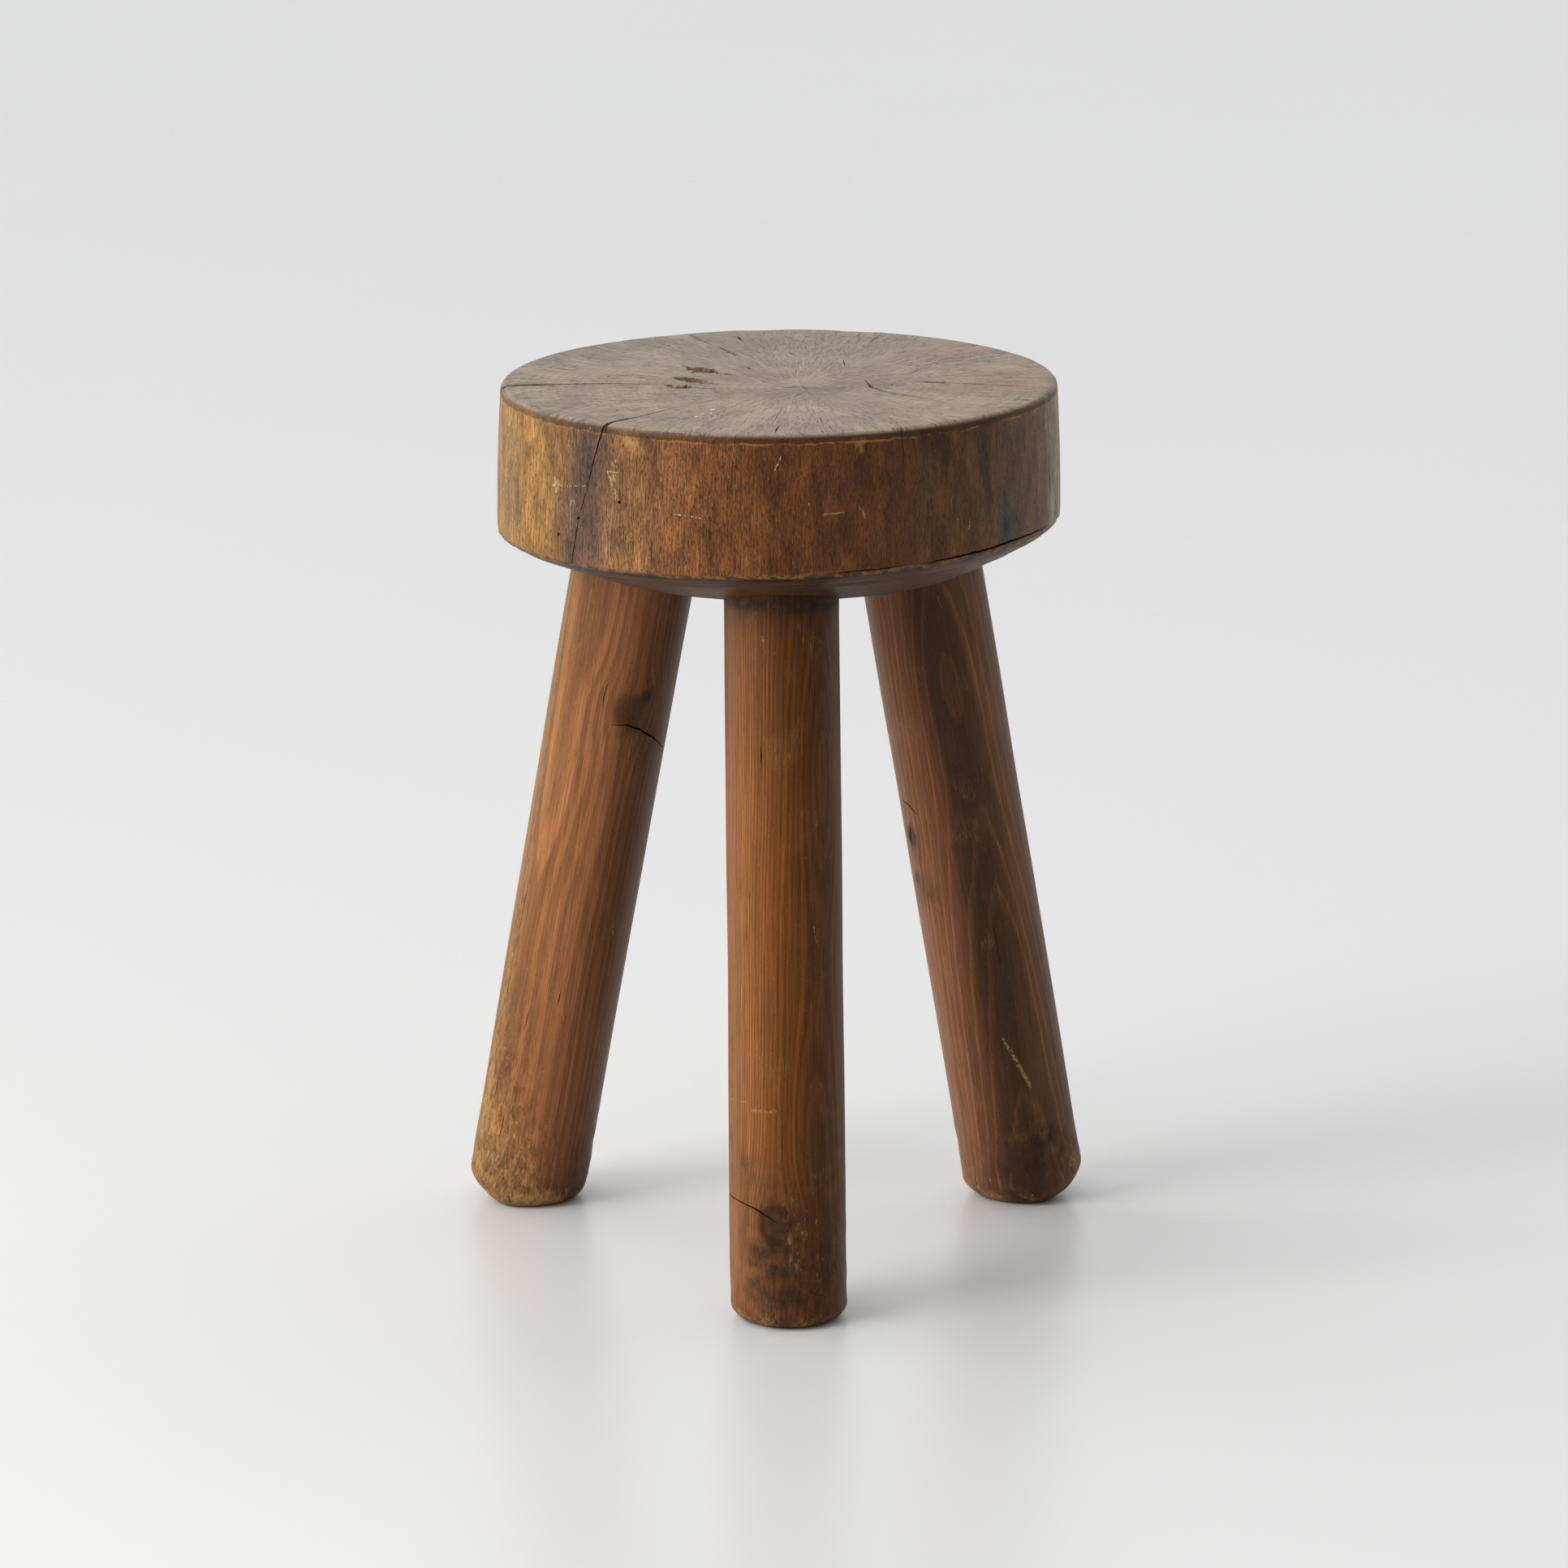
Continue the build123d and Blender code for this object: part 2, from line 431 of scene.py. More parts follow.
# Places on the top face are (right, back) from the seat's axis.
TOP_CRACKS = [
    # the two long drying checks that reach the edge
    dict(places=[(-136, -7), (-113, -5), (-84, -4), (-60, -9), (-49, -16)],
         widths=(3.0, 3.4, 3.2, 2.6, 1.8, 0.6), depths=(12, 10, 6, 3, 1)),
    dict(places=[(-86.5, -109), (-80, -100), (-68, -88), (-49, -65), (-31, -47), (-20, -38)],
         widths=(1.3, 1.9, 1.3, 0.6, 0.5, 0.4, 0.3), depths=(3, 12, 8, 4, 2, 1)),
    # towards the back
    dict(places=[(-42, 122), (-36, 104), (-29, 88)], widths=(0.8, 1.4, 0.4), depths=(4, 4, 1)),
    dict(places=[(-29, 91), (-24, 77), (-18, 61)], widths=(0.5, 2.4, 2.6, 0.4),
         depths=(1, 5, 5, 1)),
    dict(places=[(-19, 117), (-16, 102)], widths=(0.4, 2.2, 0.4), depths=(1, 4, 1)),
    dict(places=[(-16, 36), (-11, 26)], widths=(0.4, 2.8, 0.5), depths=(1, 4, 1)),
    dict(places=[(-10, 1), (-6, -4), (-2, -9)], widths=(0.4, 3.0, 2.4, 0.5), depths=(1, 4, 1)),
    dict(places=[(-54, 86), (-36, 55)], widths=(0.3, 0.8, 0.3), depths=(1, 2, 1)),
    dict(places=[(-73, 108), (-57, 87)], widths=(0.3, 0.9, 0.3), depths=(1, 2, 1)),
    dict(places=[(6, 75), (10, 63)], widths=(0.5, 2.4, 0.5), depths=(1, 3, 1)),
    dict(places=[(33, 54), (33, 34)], widths=(0.3, 1.0, 0.3), depths=(1, 2, 1)),
    dict(places=[(23, 101), (28, 96), (46, 91)], widths=(0.4, 1.8, 1.0, 0.4),
         depths=(1, 3, 1)),
    dict(places=[(46, 91), (53, 117)], widths=(0.4, 0.9, 0.3), depths=(1, 3, 1)),
    # to the right: one straight check and one curved shake
    dict(places=[(67, -8), (77, -11), (87, -13)], widths=(0.6, 4.8, 5.2, 1.4),
         depths=(1, 9, 7, 2)),
    dict(places=[(84, -12), (104, -18), (132, -27)], widths=(2.4, 1.8, 0.6), depths=(4, 3, 2)),
    dict(places=[(42, -1), (45, -20), (51, -31), (58, -39), (66, -46), (72, -52)],
         widths=(0.6, 1.8, 3.2, 3.8, 3.4, 2.0, 0.6), depths=(1, 4, 5, 5, 2)),
    dict(places=[(68, -48), (74, -53), (82, -66)], widths=(0.9, 1.0, 0.3), depths=(2, 2, 1)),
    dict(places=[(48, -14), (55, -28), (60, -36)], widths=(0.4, 0.9, 0.3), depths=(1, 2, 1)),
    dict(places=[(63, 13), (72, 27)], widths=(0.4, 1.1, 0.3), depths=(1, 3, 1)),
    dict(places=[(72, 32), (93, 67)], widths=(0.3, 0.8, 0.3), depths=(1, 2, 1)),
    dict(places=[(88, -66), (95, -65)], widths=(0.5, 1.4, 0.5), depths=(1, 2, 1)),
    # short checks at the front
    dict(places=[(-4, -131), (-3, -122), (-1, -112)], widths=(0.6, 1.1, 0.3),
         depths=(1, 4, 1)),
    dict(places=[(-5, -110), (1, -67)], widths=(0.2, 0.5, 0.5, 0.2), depths=(1, 2, 1)),
    dict(places=[(18, -93), (19, -110)], widths=(0.2, 0.8, 0.2), depths=(1, 3, 1)),
    dict(places=[(22, -113), (24, -131)], widths=(0.2, 0.9, 0.4), depths=(1, 3, 1)),
    dict(places=[(39, -62), (50, -92), (57, -124)], widths=(0.2, 0.4, 0.5), depths=(1, 2, 1)),
    dict(places=[(-46, -95), (-41, -88)], widths=(0.2, 0.6, 0.2), depths=(1, 2, 1)),
    dict(places=[(-20, -112), (-16, -94)], widths=(0.2, 0.5, 0.2), depths=(1, 2, 1)),
    # the star of small checks at the heart
    dict(places=[(-1, -16), (5, -19), (11, -15)], widths=(0.5, 2.2, 2.0, 0.5),
         depths=(1, 3, 1)),
    dict(places=[(11, -15), (14, -27)], widths=(0.6, 1.5, 0.4), depths=(2, 2, 1)),
    dict(places=[(6, -44), (12, -30)], widths=(0.3, 1.3, 0.3), depths=(1, 2, 1)),
    dict(places=[(8, -22), (-2, -25), (-9, -31)], widths=(0.6, 0.9, 0.3), depths=(2, 2, 1)),
    dict(places=[(13, -20), (26, -22), (35, -19)], widths=(0.6, 0.9, 0.3), depths=(2, 2, 1)),
    dict(places=[(7, -17), (-1, -6)], widths=(0.5, 0.9, 0.3), depths=(2, 2, 1)),
]
TORN_PITS = [
    dict(places=[(-47, 40), (-40, 29), (-34, 24), (-28, 18), (-20, 12)],
         widths=(0.6, 3.0, 12.0, 14.0, 9.0, 3.0, 3.6, 0.5), depths=(1.2, 1.8, 1.8, 1.2),
         seed=21),
    dict(places=[(-52, 9), (-43, 2), (-35, -5), (-28, -12)],
         widths=(0.6, 7.0, 9.0, 12.0, 9.0, 3.0, 0.5), depths=(1.2, 1.8, 1.8, 1.2), seed=22),
    dict(places=[(-56, -10), (-49, -15), (-43, -17), (-31, -22)],
         widths=(0.6, 7.0, 9.0, 6.5, 2.6, 2.0, 0.4), depths=(1.2, 1.8, 1.6, 1.2), seed=23),
]
TOP_WORM_HOLES = [(-53, 94), (-83, 14), (-79, -72), (55, -16), (43, 61)]

# Places on the side are (bearing, distance below the top face).
SIDE_CRACKS = [
    dict(places=[(-128.8, -1), (-129.8, 6), (-131.6, 19), (-133.2, 33)],
         widths=(1.7, 1.0, 0.85, 0.7, 0.4), depths=(18, 12, 8, 3)),
    dict(places=[(-133.4, 34), (-134.8, 43)], widths=(0.4, 0.8, 0.4), depths=(2, 6, 2)),
    dict(places=[(-134.9, 44), (-135.6, 50), (-137.3, 69)],
         widths=(0.4, 0.9, 0.8, 0.7), depths=(2, 6, 3)),
    dict(places=[(-65.5, -1), (-65.2, 14), (-65.2, 27)], widths=(0.7, 0.6, 0.2),
         depths=(3, 2, 1)),
    dict(places=[(-18.4, 5), (-18.1, 37), (-17.8, 67)], widths=(0.6, 1.2, 0.5),
         depths=(2, 5, 2)),
    dict(places=[(-12, 14), (-12.4, 40)], widths=(0.3, 0.9, 0.3), depths=(1, 4, 1)),
    # the split that runs along just above the lower arris, at the right of the front
    dict(places=[(-62, 68.0), (-46, 67.2), (-36, 66.4), (-20, 66.8)],
         widths=(0.4, 1.2, 1.5, 1.0, 0.4), depths=(2, 5, 6, 5, 2), seed=31),
    dict(places=[(-84, 68.2), (-72, 67.9), (-63, 67.6)], widths=(0.3, 0.7, 0.3),
         depths=(1, 3, 1)),
    # round the back
    dict(places=[(66, -1), (65, 26), (66.5, 52)], widths=(1.1, 0.9, 0.3), depths=(7, 5, 1)),
    dict(places=[(128, 6), (128.6, 34)], widths=(0.3, 0.9, 0.3), depths=(1, 4, 1)),
    dict(places=[(108, -1), (108.4, 22)], widths=(0.9, 0.6, 0.3), depths=(5, 3, 1)),
]
SIDE_WORM_HOLES = [(-124.7, 36), (-135.4, 46.5), (-141.4, 56), (40, 30), (43, 48), (171, 36)]
# Streaks of another colour down the side, and two pale grey bands at the right edge that are a
# painted reflection: from, to, half width, colour, strength.
SIDE_STREAKS_AND_REFLECTION = [
    ((-107, 20), (-114, 56), 2.6, paint(160, 98, 46), 0.62),
    ((-121.5, 26), (-121.5, 66), 4.5, paint(152, 108, 58), 0.55),
    ((-124, 3), (-120, 11), 2.6, paint(180, 134, 84), 0.5),
    ((-147, 6), (-146, 62), 5.0, paint(162, 122, 54), 0.45),
    ((-154, 20), (-154, 66), 3.0, paint(128, 86, 46), 0.4),
    ((-99, 8), (-98, 60), 2.0, paint(134, 82, 36), 0.45),
    ((-86, 4), (-86, 30), 3.0, paint(130, 76, 28), 0.45),
    ((-70, 30), (-71, 62), 3.0, paint(112, 70, 34), 0.35),
    ((-60, 16), (-60, 60), 5.0, paint(86, 62, 38), 0.4),
    ((-44.6, 6), (-44.6, 34), 1.8, paint(56, 42, 33), 0.5),
    ((-26, 8), (-26, 60), 2.2, paint(62, 46, 35), 0.45),
    # painted reflection: these two pale grey bands along the right edge
    ((-17, 3), (-16, 66), 5.5, paint(158, 144, 124), 0.6),
    ((-8, 3), (-7, 66), 5.0, paint(160, 146, 126), 0.55),
    ((20, 10), (22, 60), 5.0, paint(90, 58, 32), 0.4),
    ((95, 10), (92, 60), 6.0, paint(140, 96, 50), 0.45),
    ((140, 4), (138, 50), 4.0, paint(80, 54, 34), 0.4),
]
# Where pale flakes gather: bearing, distance below, reach round, reach down, amount.
SIDE_FLAKES = [
    (-126.4, 24, 3.6, 8.5, 0.75), (-125.4, 34, 2.0, 3.5, 0.55), (-137.2, 39.5, 2.6, 3.4, 0.8),
    (-142.4, 33, 3.0, 5.0, 0.8), (-138.5, 31.6, 9.0, 1.5, 0.55), (-121, 8, 3.5, 6.0, 0.55),
    (-132, 44, 3.0, 3.0, 0.35), (-149, 6, 5.0, 4.0, 0.4), (-147, 55, 3.0, 6.0, 0.4),
    (-110, 40, 8.0, 3.0, 0.3), (-133, 3.5, 9.0, 2.2, 0.5), (-74.4, 6, 2.5, 3.5, 0.5),
    (-112, 9, 6.0, 3.0, 0.35), (-94, 26, 5.0, 7.0, 0.25), (-52, 51, 4.0, 4.0, 0.2),
    (-62, 12, 3.0, 3.0, 0.3), (-82, 39, 6.0, 2.5, 0.25), (20, 30, 6.0, 8.0, 0.3),
    (120, 20, 8.0, 8.0, 0.3),
]


def make_slab(legs):
    """The slab, with its mortises, cracks, pits and worm holes cut into it."""
    origin = Matrix.Translation((SEAT_TOP.x, SEAT_TOP.y, 0))
    slab = closed_round("seat_slab_wood", slab_rings()[::-1], origin)
    shapes = [mortise_shape(leg, origin) for leg in legs]
    for k, crack in enumerate(TOP_CRACKS):
        shapes.append(top_crack(ragged=0.3, seed=100 + k, **crack))
    shapes += [top_crack(floor=0.8, ragged=0.45, step=1.3, **pit) for pit in TORN_PITS]
    for place in TOP_WORM_HOLES:
        shapes.append(peg(on_top(*place), (0, 0, -1), TOP_WORM_RADIUS, WORM_HOLE_DEPTH))
    for k, crack in enumerate(SIDE_CRACKS):
        shapes.append(side_crack(**{"ragged": 0.3, "seed": 200 + k, **crack}))
    for place in SIDE_WORM_HOLES:
        centre = on_side(*place)
        inward = (-centre[0], -centre[1], 0)
        shapes.append(peg(centre, inward, SIDE_WORM_RADIUS, WORM_HOLE_DEPTH))
    cut(slab, shapes)
    smooth(slab)
    return slab


def slab_depth(points):
    """How far each of the slab's points lies beneath its outer surface."""
    x, y, z = points.T
    z = z - slab_tilt(x, z)
    bearing = np.degrees(np.arctan2(y, x))
    radius = np.hypot(x, y)
    from_top = STOOL_HEIGHT - z
    from_side = side_radius(bearing, z) - radius
    bevels = [0, INNER_BEVEL[0], OUTER_BEVEL[0], RIM_RADIUS]
    from_under = z - np.interp(radius, bevels, [UNDERSIDE, UNDERSIDE, OUTER_BEVEL[1], RIM_Z])
    return from_top, from_side, from_under


# The finish's colour round the slab's side, by bearing, with light painted in: paler on the lit
# left, darker at the front and right, and a pale grey painted reflection near -8 at the right
# edge.
SIDE_TONES_WITH_LIGHT = [
    (-180, paint(152, 112, 66)),
    (-152, paint(162, 117, 56)),
    (-142, paint(142, 100, 54)),
    (-138.5, paint(116, 85, 62)),
    (-134, paint(104, 76, 62)),
    (-130, paint(114, 82, 60)),
    (-127.5, paint(144, 102, 66)),
    (-122, paint(148, 101, 60)),
    (-117.5, paint(118, 76, 46)),
    (-113, paint(140, 88, 48)),
    (-104, paint(124, 74, 36)),
    (-92, paint(99, 55, 20)),
    (-70, paint(90, 52, 20)),
    (-50, paint(99, 64, 33)),
    (-33, paint(94, 68, 42)),
    (-22, paint(124, 90, 60)),
    (-8, paint(162, 140, 116)),
    (35, paint(124, 84, 48)),
    (80, paint(100, 62, 32)),
    (120, paint(124, 84, 46)),
    (150, paint(110, 74, 42)),
    (180, paint(150, 110, 66)),
]
# the top's colour, paler and greyer than the wood because its sheen is painted in
TOP_TONE_WITH_SHEEN = paint(152, 133, 112)
TOP_BACK_TONE_WITH_SHEEN = paint(140, 126, 108)
TOP_TONE_RED = paint(152, 114, 92)
UNDER_TONE_AND_SHADE = paint(68, 43, 25)
CHIP_TONE = paint(158, 118, 72)
CHIP_BEARING = -74.4
TORN_TONE = paint(140, 112, 92)
OLIVE_STAIN = paint(92, 84, 48)
BLUE_STAIN = paint(50, 62, 58)
BLUE_STAIN_BEARING = -38.3
RUBBED_RIM = paint(96, 66, 44)
PITH_SMUDGE = paint(96, 86, 80)


def side_tone(points, bearing, below, lumps, long_lumps, fine_lumps, patches):
    """The finish's colour on the slab's side: its tone by bearing with painted light and shade,
    its streaks, the painted reflection at its right edge, and its stains.
    """
    tone = tone_round(wrap(bearing + 3.0 * lumps + 2.0 * long_lumps), SIDE_TONES_WITH_LIGHT)
    streaks = unevenness(points * (1, 1, 0.14), 4, 46)
    tone *= (1 + 0.20 * long_lumps + 0.14 * patches + 0.12 * streaks)[:, None]
    for (from_bearing, from_below), (to_bearing, to_below), reach, colour, amount in SIDE_STREAKS_AND_REFLECTION:
        run = np.array([(to_bearing - from_bearing) * PER_DEGREE, to_below - from_below])
        gone = np.stack([wrap(bearing - from_bearing) * PER_DEGREE, below - from_below], 1)
        share = np.clip(gone @ run / (run @ run), 0, 1)
        gap = np.hypot(*(gone - share[:, None] * run).T) + 1.6 * long_lumps + 1.2 * fine_lumps
        tone = coat(tone, colour, amount * smooth_step(1.5 * reach, 0.3 * reach, gap))
    stained = 0.85 * spot(wrap(bearing - BLUE_STAIN_BEARING), below - 56, 2.2, 11)
    tone = coat(tone, BLUE_STAIN, stained * (1 + 0.5 * lumps))
    chip = 1.6 * (1 - (below - 2.5) / 9)
    on_chip = (np.abs(wrap(bearing - CHIP_BEARING)) < chip) * (below > 2.5) * (below < 11.5)
    return coat(tone, CHIP_TONE, 0.75 * on_chip)


def face_tone(tone, points, bearing, from_side, on_face, lumps, fine_lumps):
    """The same colours with the worn top face's colours, with its sheen painted in, and its stains
    laid on.
    """
    x, y, _ = points.T
    top, top_back = np.array(TOP_TONE_WITH_SHEEN[:3]), np.array(TOP_BACK_TONE_WITH_SHEEN[:3])
    top_colour = top + (top_back - top) * smooth_step(10, 90, y)[:, None]
    top_colour = top_colour * (1 + 0.10 * unevenness(points, 26, 44) + 0.05 * lumps)[:, None]
    tone = coat(tone, top_colour, on_face)
    reddish = spot(x - 92, y - 72, 26, 22) + spot(x - 112, y + 8, 22, 30)
    tone = coat(tone, TOP_TONE_RED, on_face * reddish * 0.6)
    tone = coat(tone, PITH_SMUDGE, on_face * 0.45 * spot(x - 16, y + 24, 16, 9))
    tone = coat(tone, OLIVE_STAIN, on_face * 0.7 * spot(x + 120, y + 6, 13, 5))
    rubbed_rim = spot(wrap(bearing - 139) * PER_DEGREE, from_side - 4, 22, 2.2)
    rubbed_rim = rubbed_rim + spot(wrap(bearing - 176) * PER_DEGREE, from_side - 3, 12, 2.0)
    return coat(tone, RUBBED_RIM, on_face * 0.75 * rubbed_rim * (1 + 0.4 * fine_lumps))


def dress_slab(slab):
    """Gives each of the slab's points its colour, its wear and its depth in the wood."""
    points = points_of(slab)
    x, y, z = points.T
    bearing = np.degrees(np.arctan2(y, x))
    radius = np.hypot(x, y)
    from_top, from_side, from_under = slab_depth(points)
    lumps = unevenness(points * (1, 1, 0.35), 16, 41)
    long_lumps = unevenness(points * (1, 1, 0.16), 7, 42)
    fine_lumps = unevenness(points * (1, 1, 0.3), 2.6, 47)
    patches = unevenness(points * (1, 1, 0.5), 30, 43)

    tone = side_tone(points, bearing, from_top, lumps, long_lumps, fine_lumps, patches)
    # painted shade: the underside's dark sawn colour is partly shade, laid on more thickly further
    # in under the seat
    beneath = smooth_step(1.8, 0.6, from_under) * (from_top > 30)
    tone = coat(tone, UNDER_TONE_AND_SHADE, beneath * (0.78 + 0.22 * smooth_step(110, 80, radius)))
    tone *= (1 + beneath * (0.18 * patches + 0.14 * lumps))[:, None]
    on_face = smooth_step(2.2, 0.9, from_top) * smooth_step(-1, 1.4, from_side)
    tone = face_tone(tone, points, bearing, from_side, on_face, lumps, fine_lumps)
    store(slab, "tone", tone)

    depth = np.minimum(np.minimum(from_top, from_side), from_under)
    cut_in = smooth_step(0.7, 1.6, depth)
    torn = np.zeros(len(x))
    for pit in TORN_PITS:
        for px, py in pit["places"]:
            torn = np.maximum(torn, (np.hypot(x - px, y - py) < 9) * (from_top < 3.0))
    # painted shade inside the cracks and worm holes, read by the material
    store(slab, "in_crack", cut_in * (1 - torn))
    store(slab, "torn", cut_in * torn)
    store(slab, "end_grain", smooth_step(2.6, 0.6, from_top) * (from_side > -1))
    store(slab, "below_top", from_top)
    store(slab, "above_rim", from_under)
    off_arris = np.hypot(np.maximum(from_side, 0), np.maximum(from_under, 0))
    store(slab, "arris", smooth_step(2.4, 0.6, off_arris) * (from_top > 30))
    # grime gathers along the long crack down the side, and a little at the log's heart
    downs = [0, 19, 33, 48, 69]
    crack_bearing = np.interp(from_top, downs, [-128.8, -131.6, -133.2, -135.4, -137.3])
    around_crack = wrap(bearing - crack_bearing) * PER_DEGREE + 1.5 + 3 * lumps
    near_crack = spot(around_crack, 0, 7.5, 1) * smooth_step(4, 16, from_top)
    heart = spot(x - PITH[0], y - PITH[1], 40, 40) * 0.15
    store(slab, "darkening", near_crack * 0.62 + heart * on_face)
    flaked = 0 * x
    for at, down, across, along, amount in SIDE_FLAKES:
        gone_round = wrap(bearing - at) * PER_DEGREE
        flaked = flaked + amount * spot(gone_round, from_top - down, across, along)
    store(slab, "flaked", flaked * (from_side < 2))
    store(slab, "inward", from_side)
    coarse = 0.45 + 0.55 * smooth_step(-76, -98, bearing) + 0.3 * smooth_step(0, 30, bearing)
    store(slab, "coarse", coarse)
    store(slab, "own_place", points)
    grown = np.hypot(x - PITH[0] + 0.03 * from_top, y - PITH[1])
    store(slab, "log_radius", grown + 1.5 * lumps)


# ---- the legs ---------------------------------------------------------------------------
@dataclass
class Leg:
    """One leg: where it stands, its sizes, how its timber grew, and its marks.

    Angles are counted round the leg from the side that faces the front of the stool, and
    heights from the floor along the leg.
    """

    name: str
    shoulder: float  # its diameter where it enters the slab
    foot: float  # its diameter at the floor
    sole: float  # how far the foot's edge is worn in and up on the inner side
    outer_sole: float  # and on the outer side
    stray: float  # how far to the side the foot stands
    heart: tuple  # where the tree's heart lies: angle, and distance from the leg's axis
    ring_gap: float
    dark_share: float  # how much of each year's growth is dark
    contrast: tuple  # how bright the pale and the dark growth are
    rise: float  # how fast the rings drift along the leg
    seat_shadow: float  # how dark the seat's shadow is painted on the top of the leg
    swells: list  # where the grain bulges: angle, height, reach round, reach along, lift
    knots: list  # angle, height, radius
    cracks: list
    smudges: list  # patches of grime: angle, height, reach round, reach along, strength
    worn: list  # patches of wear, given in the same way; some long stripes down a leg's lit left side are partly a painted highlight
    tones_with_light: list  # the stain's colour by angle, with light from the left and shade on the right painted in
    seed: int

    def __post_init__(self):
        self.node = "leg_" + self.name
        self.shoulder_radius = self.shoulder / 2
        self.foot_radius = self.foot / 2
        at = MOUNTS["foot_" + self.name]
        out = Vector((at.x - SEAT_TOP.x, at.y - SEAT_TOP.y, 0)).normalized()
        up = Vector((0, 0, 1))
        along = up * math.cos(SPLAY) - out * math.sin(SPLAY)
        outwards = out * math.cos(SPLAY) + up * math.sin(SPLAY)
        sideways = along.cross(outwards)
        self.matrix = Matrix.Translation((at.x, at.y, 0)) @ Matrix(
            (outwards, sideways, along)
        ).transposed().to_4x4()
        # the angle, from outwards towards sideways, of the side that faces the front
        self.front = VIEW_BEARING - math.degrees(math.atan2(out.y, out.x))

    def radius(self, angle, z):
        """The leg's radius at an angle from outwards and a height, with its unevenness."""
        t = np.clip(z / SHOULDER_LENGTH, 0, 1)
        true = self.foot_radius + (self.shoulder_radius - self.foot_radius) * t
        turn = np.radians(angle)
        round_it = np.stack([np.cos(turn) * 30, np.sin(turn) * 30, z], 1)
        hewn = 0.30 * unevenness(round_it * (1, 1, 0.10), 13, self.seed)
        hewn += 0.10 * unevenness(round_it * (1, 1, 0.05), 4, self.seed + 1)
        hewn += 0.35 * unevenness(round_it * (0.5, 0.5, 1), 60, self.seed + 2)
        battered = smooth_step(70, 5, z) * 0.5 * unevenness(round_it, 8, self.seed + 3)
        for at, height, size in self.knots:
            across = wrap(angle - self.front - at) * math.radians(1) * self.foot_radius
            hewn = hewn + 0.35 * spot(across, z - height, size * 1.6, size * 1.8)
        in_slab = smooth_step(SHOULDER_LENGTH - 12, SHOULDER_LENGTH + 4, z)
        return true + (hewn + battered) * (1 - in_slab)

    def aside(self, z):
        """How far to the side of its true axis the leg is at a height."""
        return self.stray * (1 - np.clip(z / SHOULDER_LENGTH, 0, 1))

    def point(self, angle_from_front, z):
        """A point on the leg's surface."""
        angle = self.front + angle_from_front
        r = self.radius(np.array([angle]), np.array([float(z)]))[0]
        turn = math.radians(angle)
        return np.array([r * math.cos(turn), r * math.sin(turn) + self.aside(z), z])


SOLE_FULLNESS = 1.75  # 2 would wear the foot's edge to a round, 1 to a flat
OUTER_SOLE_RISE = 0.76  # on the outer side the foot is worn less far up than in
FOOT_BLEND_END = 80.0  # above this a leg's rings are square to its axis


def leg_rings(leg):
    """The leg's surface: worn sole, worn-in foot edge, shaft and tenon."""
    angle = np.linspace(0, 360, LEG_SECTORS, endpoint=False)
    turn = np.radians(angle)
    lean = math.tan(SPLAY)
    outer = smooth_step(-0.35, 0.95, np.cos(turn))
    inset = leg.sole + (leg.outer_sole - leg.sole) * outer
    tall = leg.sole + (OUTER_SOLE_RISE * leg.outer_sole - leg.sole) * outer
    rings = []

    def add_ring(drop, height, level):
        """A ring drop in from the surface. level is 1 where it is parallel to the floor."""
        height = height + 0 * turn
        r = leg.radius(angle, np.maximum(height, 0)) - drop
        z = height - level * r * np.cos(turn) * lean
        rings.append(np.stack([r * np.cos(turn), r * np.sin(turn) + leg.aside(height), z], 1))

    for share in (0.12, 0.35, 0.6, 0.8, 0.92):
        add_ring(leg.foot_radius - (leg.foot_radius - inset) * share, 0.0, 1.0)
    power = 2 / SOLE_FULLNESS
    for bit in np.radians(np.linspace(2, 88, 14)):
        drop = inset * (1 - math.sin(bit) ** power)
        add_ring(drop, tall * (1 - math.cos(bit) ** power), 1.0)
    for share in np.linspace(0.005, 1, 56):
        height = tall + (FOOT_BLEND_END - tall) * share
        add_ring(0.0, height, smooth_step(FOOT_BLEND_END - 5, 20, height))
    for height in np.arange(FOOT_BLEND_END + 1, TENON_END - TENON_LEAD_IN, LEG_RING_GAP):
        add_ring(0.0, height, 0.0)
    add_ring(0.0, TENON_END - TENON_LEAD_IN, 0.0)
    add_ring(TENON_LEAD_IN, TENON_END, 0.0)
    add_ring(leg.shoulder_radius * 0.6, TENON_END, 0.0)
    return rings


def kerf_shape(leg):
    """The sawn kerf that the hidden wedge spreads: across the leg, along its middle."""
    wide = leg.shoulder_radius + 3
    tip, head = WEDGE_TIP / 2, WEDGE_HEAD / 2
    section = [
        (-tip, MORTISE_FLOOR - KERF_LENGTH), (tip, MORTISE_FLOOR - KERF_LENGTH),
        (tip, MORTISE_FLOOR - WEDGE_LENGTH), (head, MORTISE_FLOOR),
        (-head, MORTISE_FLOOR), (-tip, MORTISE_FLOOR - WEDGE_LENGTH),
    ]
    points = np.array([(side, y, z) for side in (-wide, wide) for y, z in section])
    return points, capped_faces(2, len(section))


def mortise_shape(leg, slab_matrix):
    """The bore that a leg's tenon sits in, in the slab's own frame."""
    turn = np.linspace(0, 2 * math.pi, MORTISE_SECTORS, endpoint=False)
    radius = leg.shoulder_radius + GLUE_LINE
    rings = []
    for z in (SHOULDER_LENGTH - 40, MORTISE_FLOOR):
        rings.append(np.stack([radius * np.cos(turn), radius * np.sin(turn), z + 0 * turn], 1))
    points = np.concatenate(rings)
    to_slab = np.array(slab_matrix.inverted() @ leg.matrix)
    points = points @ to_slab[:3, :3].T + to_slab[:3, 3] / MM
    return points, capped_faces(2, MORTISE_SECTORS)


